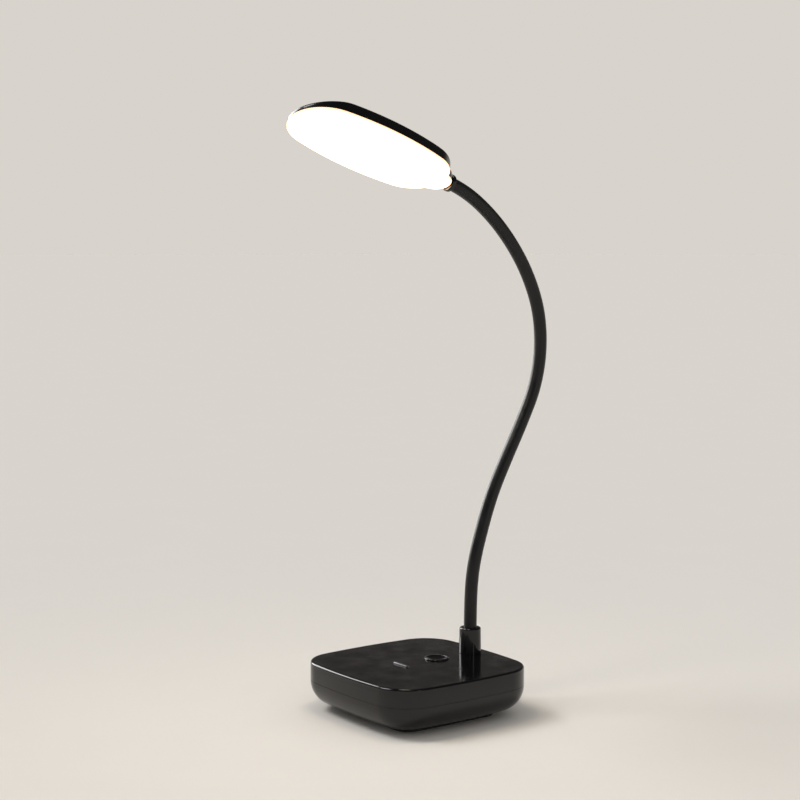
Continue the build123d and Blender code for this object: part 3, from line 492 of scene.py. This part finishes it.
def wire_insulation():
    """Extruded red PVC on thin wire: smooth and a little waxy."""
    material, tree, shader, place = finish("red_pvc_insulation", IOR=1.5, Roughness=0.38)
    tree.links.new(two_tone(tree, noise(tree, place, 3.0), "#8f1b17", "#a3241d"), shader.inputs["Base Color"])
    return material


def smoked_pipe():
    """Smoked polycarbonate light pipe: a dull grey while its diodes are off, with a smooth skin."""
    material, tree, shader, place = finish("smoked_polycarbonate", IOR=1.58, Roughness=0.22)
    colour = two_tone(tree, noise(tree, place, 1.2, 2.0), "#343435", "#414142")
    tree.links.new(colour, shader.inputs["Base Color"])
    return material


def lit_opal():
    """Frosted opal polycarbonate with the light on behind it: an even warm white that falls off a little and
    turns amber along the rim, where the light leaves through the edge."""
    material, tree, shader, place = finish("lit_opal_polycarbonate", IOR=1.58, Roughness=0.45)
    grain = noise(tree, place, 0.5, 2.0)
    tree.links.new(two_tone(tree, grain, "#efe9dc", "#f8f4ea"), shader.inputs["Base Color"])
    inward = put(tree, "ShaderNodeAttribute", attribute_name="inward").outputs["Fac"]
    glow = two_tone(tree, between(tree, inward, 0.0, 1.0, 0.0, 1.0), "#ffb25e", "#fff1dc")
    tree.links.new(glow, shader.inputs["Emission Color"])
    tree.links.new(between(tree, inward, 1.0, 16.0, 0.0, 1.0), shader.inputs["Emission Strength"])
    relief(tree, shader, grain, 0.01)
    return material


def phosphor():
    """Yellow phosphor in a small white package, lit."""
    material, tree, shader, place = finish("led_phosphor", IOR=1.5, Roughness=0.4, Emission_Strength=3.0)
    tree.links.new(two_tone(tree, noise(tree, place, 0.6), "#f2cf5b", "#ffe08a"), shader.inputs["Base Color"])
    shader.inputs["Emission Color"].default_value = srgb("#ffe9c4")
    return material


def indicator():
    """A charge indicator that is off: a milky lens in a white package."""
    material, tree, shader, place = finish("unlit_indicator", IOR=1.5, Roughness=0.3)
    tree.links.new(two_tone(tree, noise(tree, place, 0.4), "#e6e3d2", "#f4f2e8"), shader.inputs["Base Color"])
    return material


def reflector_film():
    """White polyester film: bright, matt and even."""
    material, tree, shader, place = finish("white_reflector_film", IOR=1.5, Roughness=0.7)
    tree.links.new(two_tone(tree, noise(tree, place, 2.0), "#f3f3f1", "#ffffff"), shader.inputs["Base Color"])
    return material


def nickel_shell():
    """Nickel-plated pressed steel, drawn bright, with fine lines along the draw."""
    material, tree, shader, place = finish("nickel_plated_shell", Metallic=1.0)
    lines = noise(tree, place, 0.3, 2.0)
    tree.links.new(two_tone(tree, lines, "#c6c3bb", "#dcd9d2"), shader.inputs["Base Color"])
    tree.links.new(between(tree, lines, 0.16, 0.28), shader.inputs["Roughness"])
    return material


rubber = foot_rubber()
zinc = zinc_plate()
primer = painted_steel()
tape = foam_tape()
foil = pouch_foil()
green_board = board_lacquer("green_board_lacquer", "#123f24", "#1f5c36")
white_board = board_lacquer("white_board_lacquer", "#e9e9e4", "#f6f6f2")
ivory = moulded_nylon("ivory_nylon", "#e3dcc6", "#d8d0b8")
black_nylon = moulded_nylon("black_nylon", "#151516", "#1f1f20")
pvc = wire_insulation()
smoked = smoked_pipe()
opal = lit_opal()
led_lit = phosphor()
led_off = indicator()
film = reflector_film()
nickel = nickel_shell()

cad_finishes = {
    "base_screws": zinc,
    "ballast_weight": primer,
    "ballast_screws": zinc,
    "battery_tape": tape,
    "battery_cell": foil,
    "main_board": green_board,
    "board_screws": zinc,
    "charge_port": nickel,
    "switch_body": black_nylon,
    "switch_plunger": ivory,
    "charge_leds": led_off,
    "battery_connector": ivory,
    "lead_connector": ivory,
    "neck_ferrule": zinc,
    "neck_washer": zinc,
    "neck_nut": zinc,
    "battery_lead": pvc,
    "head_ferrule": zinc,
    "led_board": white_board,
    "leds": led_lit,
    "reflector_sheet": film,
    "head_connector": ivory,
    "neck_screws": zinc,
    "led_board_screws": zinc,
}
for number in range(1, 13):
    cad_finishes[f"neck_link_{number:02d}"] = zinc
for node, material in cad_finishes.items():
    mesh = frame["nodes"][node].data
    mesh.materials.clear()
    mesh.materials.append(material)


def stands_for(piece, node, body, material):
    """Gives a new piece its material and puts it in the place of a solid."""
    piece.data.materials.clear()
    piece.data.materials.append(material)
    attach(piece, body)
    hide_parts(node)


# --- Base -----------------------------------------------------------------------------------------
base_line = base_outline()
EDGE_HOLD = 0.25  # a narrow flat band that keeps the plates' shading flat


def hole(outline, top, bottom, edge=0.15):
    """A hole's wall from the top plate to its underside, with a broken upper edge."""
    return [ring(outline, -edge, top), ring(outline, 0, top - edge), ring(outline, 0, bottom)]


def post(x, y, radius, bore, root, tip, depth):
    """A screw post that hangs from a plate, with its blind bore."""
    return [
        ring(circle(radius, x, y, 32), 0, root),
        ring(circle(radius, x, y, 32), 0, tip),
        ring(circle(bore, x, y, 32), 0, tip),
        ring(circle(bore, x, y, 32), 0, depth),
    ]


def moved(outline, x, y):
    return [(px + x, py + y, nx, ny) for px, py, nx, ny in outline]


top_chain = [ring(base_line, TOP_EDGE_RADIUS + EDGE_HOLD, BASE_TOP)]
top_chain += quarter_round(
    base_line, TOP_EDGE_RADIUS, TOP_EDGE_RADIUS, BASE_TOP - TOP_EDGE_RADIUS, 90, 0, 8
)
top_chain += [
    ring(base_line, 0, PARTING_Z + PARTING_GAP + PARTING_BREAK),
    ring(base_line, PARTING_BREAK, PARTING_Z + PARTING_GAP),
    ring(base_line, LIP_INSET, PARTING_Z + PARTING_GAP),
    ring(base_line, LIP_INSET, PARTING_Z - LIP),
    ring(base_line, WALL, PARTING_Z - LIP),
    ring(base_line, WALL, PLATE_UNDER),
]
bar_slot = moved(slot_outline(LAMP_BAR[0] + LAMP_BAR_FIT, LAMP_BAR[1] + LAMP_BAR_FIT), 0, LAMP_BAR_Y)
holes = [
    hole(circle(NECK_HOLE_RADIUS, 0, NECK_Y), BASE_TOP, PLATE_UNDER),
    hole(circle(BUTTON_HOLE_RADIUS, 0, BUTTON_Y, 96), BASE_TOP, PLATE_UNDER),
    hole(bar_slot, BASE_TOP, PLATE_UNDER),
]
quarters = [(x, y) for x in (-1, 1) for y in (-1, 1)]
all_posts = [
    post(x * POST_OFFSET, y * POST_OFFSET, *POST, PLATE_UNDER, POST_TIP, POST_BORE_END)
    for x, y in quarters
]
board_x, board_y = BOARD_POST_PLACE
all_posts += [
    post(x * board_x, y * board_y, *BOARD_POST, PLATE_UNDER, BOARD_POST_TIP, BOARD_POST_BORE_END)
    for x, y in quarters
]
top_cover = closed_mesh(
    "top_cover",
    [top_chain] + holes + all_posts,
    [[top_chain[0]] + [chain[0] for chain in holes]]
    + [[top_chain[-1]] + [chain[-1] for chain in holes] + [chain[0] for chain in all_posts]]
    + [[chain[-1]] for chain in all_posts],
)

# The charging window in the back wall is cut with a bar-shaped cutter.
CUTTER_LENGTH = 10.0
window_start = Vector((WINDOW_PLACE[0], (BASE_WIDTH - CUTTER_LENGTH) / 2, WINDOW_PLACE[1]))
towards_back = Matrix.Translation(window_start) @ Matrix.Rotation(-math.pi / 2, 4, "X")
window_line = slot_outline(*WINDOW)
window_rings = [ring(window_line, 0, depth, towards_back) for depth in (0, CUTTER_LENGTH)]
cutter = closed_mesh("window_cutter", [window_rings], [[window_rings[0]], [window_rings[1]]])
cut = top_cover.modifiers.new("window", "BOOLEAN")
cut.operation = "DIFFERENCE"
cut.solver = "EXACT"
cut.object = cutter
cut_mesh = bpy.data.meshes.new_from_object(
    top_cover.evaluated_get(bpy.context.evaluated_depsgraph_get())
)
top_cover.modifiers.clear()
top_cover.data = cut_mesh
bpy.data.objects.remove(cutter)
stands_for(top_cover, "base_top_cover", "base", gloss_abs)

pad_line = rounded_rectangle(PAD_HALF, PAD_HALF, PAD_CORNER)
recess = [ring(pad_line, -PAD_FIT, SHELL_BOTTOM), ring(pad_line, -PAD_FIT, SHELL_BOTTOM + PAD_RECESS)]
shell_chain = [ring(base_line, UNDERSIDE_RADIUS + EDGE_HOLD, SHELL_BOTTOM)]
shell_chain += quarter_round(
    base_line, UNDERSIDE_RADIUS, UNDERSIDE_RADIUS, SHELL_BOTTOM + UNDERSIDE_RADIUS, -90, 0, 28
)
shell_chain += [
    ring(base_line, 0, PARTING_Z - 0.17),
    ring(base_line, PARTING_BREAK, PARTING_Z - PARTING_GAP),
    ring(base_line, RABBET_INSET, PARTING_Z - PARTING_GAP),
    ring(base_line, RABBET_INSET, PARTING_Z - LIP - 0.1),
    ring(base_line, WALL, PARTING_Z - LIP - 0.1),
]
shell_chain += quarter_round(
    base_line, UNDERSIDE_RADIUS - WALL, UNDERSIDE_RADIUS, SHELL_BOTTOM + UNDERSIDE_RADIUS, -5, -90, 16
)


def boss(x, y, profile):
    """A boss on the floor of the shell, from (radius, height) points that run up it and down its bore."""
    return [ring(circle(radius, x, y, 32), 0, height) for radius, height in profile]


screw_boss = ((4.5, FLOOR_Z), (4.5, 12.0), (1.65, 12.0), (1.65, 8.0), (3.1, 8.0), (3.1, 3.6))
weight_boss = ((3.0, FLOOR_Z), (3.0, 11.1), (1.3, 11.1), (1.3, 6.0))
bosses = [boss(x * POST_OFFSET, y * POST_OFFSET, screw_boss) for x, y in quarters]
weight_bosses = [boss(0, y, weight_boss) for y in (-WEIGHT_BOSS_Y, WEIGHT_BOSS_Y)]
lower_shell = closed_mesh(
    "lower_shell",
    [shell_chain, recess] + bosses + weight_bosses,
    [
        [shell_chain[0], recess[0]],
        [recess[1]] + [chain[-1] for chain in bosses],
        [shell_chain[-1]] + [chain[0] for chain in bosses + weight_bosses],
    ]
    + [[chain[-1]] for chain in weight_bosses],
)
stands_for(lower_shell, "base_lower_shell", "base", gloss_abs)

pad_chain = [
    ring(pad_line, PAD_EDGE + EDGE_HOLD, 0),
    ring(pad_line, PAD_EDGE, 0),
    ring(pad_line, 0.12, 0.12),
    ring(pad_line, 0, PAD_EDGE),
    ring(pad_line, 0, SHELL_BOTTOM + PAD_RECESS),
]
foot = closed_mesh("rubber_foot", [pad_chain], [[pad_chain[0]], [pad_chain[-1]]])
stands_for(foot, "foot_pad", "base", rubber)

button_profile = [
    BUTTON_STEM,
    (BUTTON_STEM[0], BUTTON_FLANGE_BOTTOM),
    (BUTTON_FLANGE_RADIUS, BUTTON_FLANGE_BOTTOM),
    (BUTTON_FLANGE_RADIUS, BUTTON_FLANGE_TOP),
    (BUTTON_RADIUS, BUTTON_FLANGE_TOP),
    (BUTTON_RADIUS, BUTTON_TOP - LIP_OUTER - 0.3),
]
for step in range(9):
    angle = math.radians(90 * step / 8)
    button_profile.append(
        (BUTTON_RADIUS - LIP_OUTER * (1 - math.cos(angle)), BUTTON_TOP - LIP_OUTER * (1 - math.sin(angle)))
    )
dish_radius = math.sqrt(BUTTON_DISH_RADIUS**2 - (BUTTON_DISH_RADIUS - BUTTON_DISH) ** 2)
dish_centre = BUTTON_TOP - BUTTON_DISH + BUTTON_DISH_RADIUS
for step in range(5):
    angle = math.radians(66 * step / 4)
    outwards, down = LIP_INNER * (1 - math.sin(angle)), LIP_INNER * (1 - math.cos(angle))
    button_profile.append((dish_radius + outwards, BUTTON_TOP - down))
for step in range(1, 25):
    radius = dish_radius * (1 - step / 25)
    button_profile.append((radius, dish_centre - math.sqrt(BUTTON_DISH_RADIUS**2 - radius**2)))
on_button = Matrix.Translation((0, BUTTON_Y, 0))
button = turned("power_button_cap", button_profile, on_button, hoop=False)
stands_for(button, "power_button", "power_button", gloss_abs)

bar_line = moved(slot_outline(*LAMP_BAR), 0, LAMP_BAR_Y)
bar_flange = moved(slot_outline(LAMP_BAR[0] + 2, LAMP_BAR[1] + 2), 0, LAMP_BAR_Y)
bar_chain = quarter_round(
    bar_line, LAMP_BAR_ROUND, LAMP_BAR_ROUND, LAMP_BAR_TOP - LAMP_BAR_ROUND, 90, 0, 6
)
bar_chain += [
    ring(bar_line, 0, PLATE_UNDER),
    ring(bar_flange, 0, PLATE_UNDER),
    ring(bar_flange, 0, PLATE_UNDER - LAMP_BAR_FLANGE),
    ring(bar_line, 0, PLATE_UNDER - LAMP_BAR_FLANGE),
    ring(bar_line, 0, LAMP_BAR_FOOT),
]
bar = closed_mesh("charge_light_bar", [bar_chain], [[bar_chain[0]], [bar_chain[-1]]])
stands_for(bar, "charge_light_pipe", "base", smoked)

# --- Neck -----------------------------------------------------------------------------------------
at_neck = Matrix.Translation((0, NECK_Y, 0))
collar_bore = SLEEVE_RADIUS + SLEEVE_FIT
collar_profile = [(collar_bore, COLLAR_TOP - 0.2), (collar_bore + 0.2, COLLAR_TOP)]
for step in range(9):
    angle = math.radians(90 - 90 * step / 8)
    inwards, down = 1 - math.cos(angle), 1 - math.sin(angle)
    collar_profile.append((COLLAR_TOP_RADIUS - COLLAR_ROUND * inwards, COLLAR_TOP - COLLAR_ROUND * down))
collar_profile += [
    (COLLAR_FOOT_RADIUS, BASE_TOP + 0.2),
    (COLLAR_FOOT_RADIUS - 0.15, BASE_TOP + 0.02),
    (COLLAR_BORE[0], BASE_TOP + 0.02),
    (COLLAR_BORE[0], BASE_TOP + COLLAR_BORE[1]),
    (collar_bore, BASE_TOP + COLLAR_BORE[1]),
]
collar = turned("neck_collar", collar_profile, at_neck)
stands_for(collar, "collar", "base", gloss_abs)

joints = [joint for joint in frame["joints"] if joint["type"] == "hinge"]
joints.sort(key=lambda joint: (joint["parent"] != "base", joint["parent"]))
seats = [Vector(joint["pos_m"]) for joint in joints]
pitch, roll = math.radians(HEAD_PITCH), math.radians(HEAD_ROLL)
head_axis = Vector((0, -math.cos(pitch), math.sin(pitch)))
nose = seats[-1] + head_axis * STUB_LENGTH * MM


def tube_tree():
    """A tube that follows one bend from Start to End past two Handles, its wall closed at both ends."""
    tree = bpy.data.node_groups.new("bent_tube", "GeometryNodeTree")
    for name, kind in (
        ("Start", "NodeSocketVector"),
        ("Start Handle", "NodeSocketVector"),
        ("End Handle", "NodeSocketVector"),
        ("End", "NodeSocketVector"),
        ("Radius", "NodeSocketFloat"),
        ("Wall", "NodeSocketFloat"),
        ("Rings", "NodeSocketInt"),
        ("Sides", "NodeSocketInt"),
        ("Material", "NodeSocketMaterial"),
    ):
        tree.interface.new_socket(name, in_out="INPUT", socket_type=kind)
    tree.interface.new_socket("Geometry", in_out="OUTPUT", socket_type="NodeSocketGeometry")
    sizes = put(tree, "NodeGroupInput").outputs
    ends = {name: sizes[name] for name in ("Start", "Start Handle", "End Handle", "End")}
    course = put(tree, "GeometryNodeCurvePrimitiveBezierSegment", {"Resolution": sizes["Rings"], **ends})
    section = put(
        tree, "GeometryNodeCurvePrimitiveCircle", {"Resolution": sizes["Sides"], "Radius": sizes["Radius"]}
    )
    outer = put(
        tree, "GeometryNodeCurveToMesh", {"Curve": course.outputs[0], "Profile Curve": section.outputs[0]}
    )
    inward = put(tree, "ShaderNodeMath", {0: sizes["Wall"], 1: -1.0}, operation="MULTIPLY")
    wall = put(
        tree,
        "GeometryNodeExtrudeMesh",
        {"Mesh": outer.outputs[0], "Offset Scale": inward.outputs[0], "Individual": False},
        mode="FACES",
    )
    inner = put(tree, "GeometryNodeFlipFaces", {"Mesh": wall.outputs[0]})
    joined = tree.nodes.new("GeometryNodeJoinGeometry")
    tree.links.new(outer.outputs[0], joined.inputs[0])
    tree.links.new(inner.outputs[0], joined.inputs[0])
    merged = put(
        tree, "GeometryNodeMergeByDistance", {"Geometry": joined.outputs[0], "Distance": 0.001 * MM}
    )
    real = put(tree, "GeometryNodeRealizeInstances", {"Geometry": merged.outputs[0]})
    dressed = put(
        tree, "GeometryNodeSetMaterial", {"Geometry": real.outputs[0], "Material": sizes["Material"]}
    )
    put(tree, "NodeGroupOutput", {"Geometry": dressed.outputs[0]})
    return tree


bent_tube = tube_tree()


def tube(name, start, corner, end, radius, wall, material, rings=17, sides=40):
    """One bend of a tube as a plain mesh, its ends square to the two straights that meet at the corner."""
    piece = bpy.data.objects.new(name, bpy.data.meshes.new(name))
    bpy.context.scene.collection.objects.link(piece)
    course = piece.modifiers.new("course", "NODES")
    course.node_group = bent_tube
    values = {
        "Start": start,
        "Start Handle": start.lerp(corner, 2 / 3),
        "End Handle": end.lerp(corner, 2 / 3),
        "End": end,
        "Radius": radius * MM,
        "Wall": wall * MM,
        "Rings": rings,
        "Sides": sides,
        "Material": material,
    }
    for item in bent_tube.interface.items_tree:
        if item.in_out == "INPUT":
            course[item.identifier] = values[item.name]
    done = bpy.data.meshes.new_from_object(piece.evaluated_get(bpy.context.evaluated_depsgraph_get()))
    piece.modifiers.clear()
    piece.data = done
    done.name = name
    shape = bmesh.new()
    shape.from_mesh(done)
    for face in shape.faces:
        face.smooth = True
    for edge in shape.edges:
        edge.smooth = edge.calc_face_angle(0.0) < math.radians(50)
    shape.to_mesh(done)
    shape.free()
    return piece


def along_neck(name, points, radius, wall, material, node, sides):
    """A tube along the neck, one piece for each seat; the pieces before the first seat go with the base, and
    the rest stay fixed where they are built.
    """
    first_seat = len(points) - 1 - len(seats)
    for index in range(1, len(points) - 1):
        before, corner, after = points[index - 1], points[index], points[index + 1]
        start = before if index == 1 else (before + corner) / 2
        end = after if index == len(points) - 2 else (corner + after) / 2
        piece = tube(f"{name}_{index:02d}", start, corner, end, radius, wall, material, sides=sides)
        seat = index - first_seat
        if seat < 0:
            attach(piece, "base")
        else:
            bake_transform(piece)
        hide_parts(node)


sleeve_points = [Vector((0, NECK_Y, SLEEVE_START)) * MM] + seats + [nose - head_axis * SLEEVE_FIT * MM]
along_neck("sleeve", sleeve_points, SLEEVE_RADIUS, SLEEVE_WALL, silicone, "neck_sleeve", 48)

lead_points = [Vector(point) * MM for point in LEAD_COURSE] + seats + [nose + head_axis * LEAD_PAST_NOSE * MM]
along_neck("lead", lead_points, LEAD_RADIUS, LEAD_WALL, pvc, "neck_lead", 12)

# --- Head -----------------------------------------------------------------------------------------
across = Vector((math.cos(roll), math.sin(roll) * math.sin(pitch), math.sin(roll) * math.cos(pitch)))
upwards = Vector((-math.sin(roll), math.cos(roll) * math.sin(pitch), math.cos(roll) * math.cos(pitch)))
HEAD = Matrix.Translation(nose / MM) @ Matrix((across, -head_axis, upwards)).transposed().to_4x4()

head_line = head_outline()
cover_chain = [ring(head_line, COVER_EDGE_RADIUS + EDGE_HOLD, 0, HEAD, cover_top)]
cover_chain += quarter_round(
    head_line, COVER_EDGE_RADIUS, COVER_EDGE_RADIUS, COVER_EDGE_RADIUS, 90, 0, 10, HEAD, cover_top
)
cover_chain += [
    ring(head_line, 0, RIM + 0.15, HEAD),
    ring(head_line, 0.12, RIM + 0.02, HEAD),
    ring(head_line, COVER_WALL, RIM + 0.02, HEAD),
    ring(head_line, COVER_WALL, COVER_WALL + 0.4, HEAD, cover_top),
    ring(head_line, COVER_WALL + 0.4, COVER_WALL, HEAD, cover_top),
]
cover = closed_mesh("head_shell", [cover_chain], ruled=[cover_chain[0], cover_chain[-1]])
stands_for(cover, "head_cover", "head", head_abs)

GLOW_BAND = 2.6  # how far in from the rim the light reaches its full strength
lens_chain = [
    ring(head_line, COVER_WALL + 1.1, RIM, HEAD),
    ring(head_line, 0.1, RIM, HEAD),
    ring(head_line, 0, RIM - 0.06, HEAD),
]
lens_chain += quarter_round(head_line, 0.8, 0.8, DIFFUSER_FACE + 0.8, 0, -90, 6, HEAD)
lens_chain += [ring(head_line, inset, DIFFUSER_FACE, HEAD) for inset in (1.0, 1.6, GLOW_BAND, 3.4)]
lens = closed_mesh("lit_diffuser", [lens_chain], [[lens_chain[0]], [lens_chain[-1]]])
inward = lens.data.attributes.new("inward", "FLOAT", "POINT")
to_head = HEAD.inverted()
for vertex in lens.data.vertices:
    local = to_head @ (vertex.co / MM)
    nearest = min((local.x - x) ** 2 + (local.y - y) ** 2 for x, y, _, _ in head_line)
    inward.data[vertex.index].value = min(1.0, math.sqrt(nearest) / GLOW_BAND)
stands_for(lens, "diffuser", "head", opal)

at_nose = Matrix.Translation(nose / MM) @ (-head_axis).to_track_quat("Z", "Y").to_matrix().to_4x4()
ring_profile = [
    (SLEEVE_RADIUS + 0.1, 0.05),
    (HEAD_RING_RADIUS - 0.2, 0.05),
    (HEAD_RING_RADIUS - 0.05, 0.12),
    (HEAD_RING_RADIUS, 0.3),
    (HEAD_RING_RADIUS, HEAD_RING - 0.5),
    (HEAD_RING_RADIUS - 0.15, HEAD_RING - 0.15),
    (HEAD_RING_RADIUS - 0.5, HEAD_RING),
    (SLEEVE_RADIUS + 0.25, HEAD_RING),
    (SLEEVE_RADIUS + 0.1, HEAD_RING - 0.15),
]
head_ring = turned("nose_ring", ring_profile, at_nose)
stands_for(head_ring, "head_ring", "head", gloss_abs)


# --- Floor, light and camera ----------------------------------------------------------------------
def pale_floor():
    """A wide sheet of pale matt card."""
    material, tree, shader, place = finish("pale_card", Roughness=1.0, Specular_IOR_Level=0.0)
    colour = two_tone(tree, noise(tree, place, 60.0, 3.0), "#dbd6cf", "#ddd8d1")
    tree.links.new(colour, shader.inputs["Base Color"])
    return material


floor_shape = bmesh.new()
bmesh.ops.create_circle(floor_shape, cap_ends=True, radius=14.0, segments=96)
floor_mesh = bpy.data.meshes.new("floor")
floor_shape.to_mesh(floor_mesh)
floor_shape.free()
floor = bpy.data.objects.new("floor", floor_mesh)
bpy.context.scene.collection.objects.link(floor)
floor_mesh.materials.append(pale_floor())

world = bpy.data.worlds.new("studio")
bpy.context.scene.world = world
world.use_nodes = True
sky = world.node_tree
sky.nodes.clear()
rays = put(sky, "ShaderNodeLightPath")
seen = rays.outputs["Is Camera Ray"]
for kind in ("Is Glossy Ray", "Is Transmission Ray"):
    seen = put(sky, "ShaderNodeMath", {0: seen, 1: rays.outputs[kind]}, operation="MAXIMUM").outputs[0]
room = put(sky, "ShaderNodeBackground", {"Color": srgb("#ffffff"), "Strength": 0.58})
# The paper backdrop is pale near the floor and turns into the unlit end of the room above the view.
direction = put(sky, "ShaderNodeTexCoord").outputs["Generated"]
upward = put(sky, "ShaderNodeSeparateXYZ", {0: direction}).outputs["Z"]
paper = two_tone(sky, between(sky, upward, 0.0, 1.0, *BACKDROP_TURN), "#d8d3cc", "#4d4a47")
backdrop = put(sky, "ShaderNodeBackground", {"Color": paper, "Strength": 1.0})
mixed = put(sky, "ShaderNodeMixShader", {0: seen, 1: room.outputs[0], 2: backdrop.outputs[0]})
put(sky, "ShaderNodeOutputWorld", {"Surface": mixed.outputs[0]})


def strip_light(name, place, target, width, height, power):
    """A tall strip for the glints alone: what is glossy mirrors it, and it adds nothing to the matt light."""
    light = bpy.data.lights.new(name, "AREA")
    light.shape = "RECTANGLE"
    light.size, light.size_y = width, height
    light.energy = power
    lamp = bpy.data.objects.new(name, light)
    lamp.location = place
    lamp.rotation_euler = (Vector(target) - Vector(place)).to_track_quat("-Z", "Y").to_euler()
    lamp.visible_diffuse = False
    lamp.visible_camera = False
    bpy.context.scene.collection.objects.link(lamp)


strip_light("far_strip", (-1.17, -0.22, 0.62), (0, 0, 0.1), 0.75, 0.9, 17.0)
strip_light("near_strip", (1.3, 0.0, 0.55), (0, 0, 0.1), 0.12, 0.8, 0.8)

sun_data = bpy.data.lights.new("large_key", "SUN")
sun_data.angle = math.radians(24)
sun_data.energy = 1.5
sun = bpy.data.objects.new("large_key", sun_data)
sun.rotation_euler = Vector((-0.55, -0.5, 1.0)).to_track_quat("Z", "Y").to_euler()
bpy.context.scene.collection.objects.link(sun)

camera_data = bpy.data.cameras.new("view")
camera_data.sensor_width = 36.0
camera_data.lens = 81.0
camera_data.clip_start = 0.01
camera_data.clip_end = 60.0
camera = bpy.data.objects.new("view", camera_data)
sight = Vector((-0.79755, 0.59507, -0.09907)).normalized()
rightwards = Vector((0.59801, 0.80149, 0.0)).normalized()
aim = Matrix((rightwards, rightwards.cross(sight), -sight)).transposed().to_4x4()
camera.matrix_world = Matrix.Translation((0.78764, -0.59937, 0.27428)) @ aim
bpy.context.scene.collection.objects.link(camera)
bpy.context.scene.camera = camera
bpy.context.scene.view_settings.view_transform = "Standard"
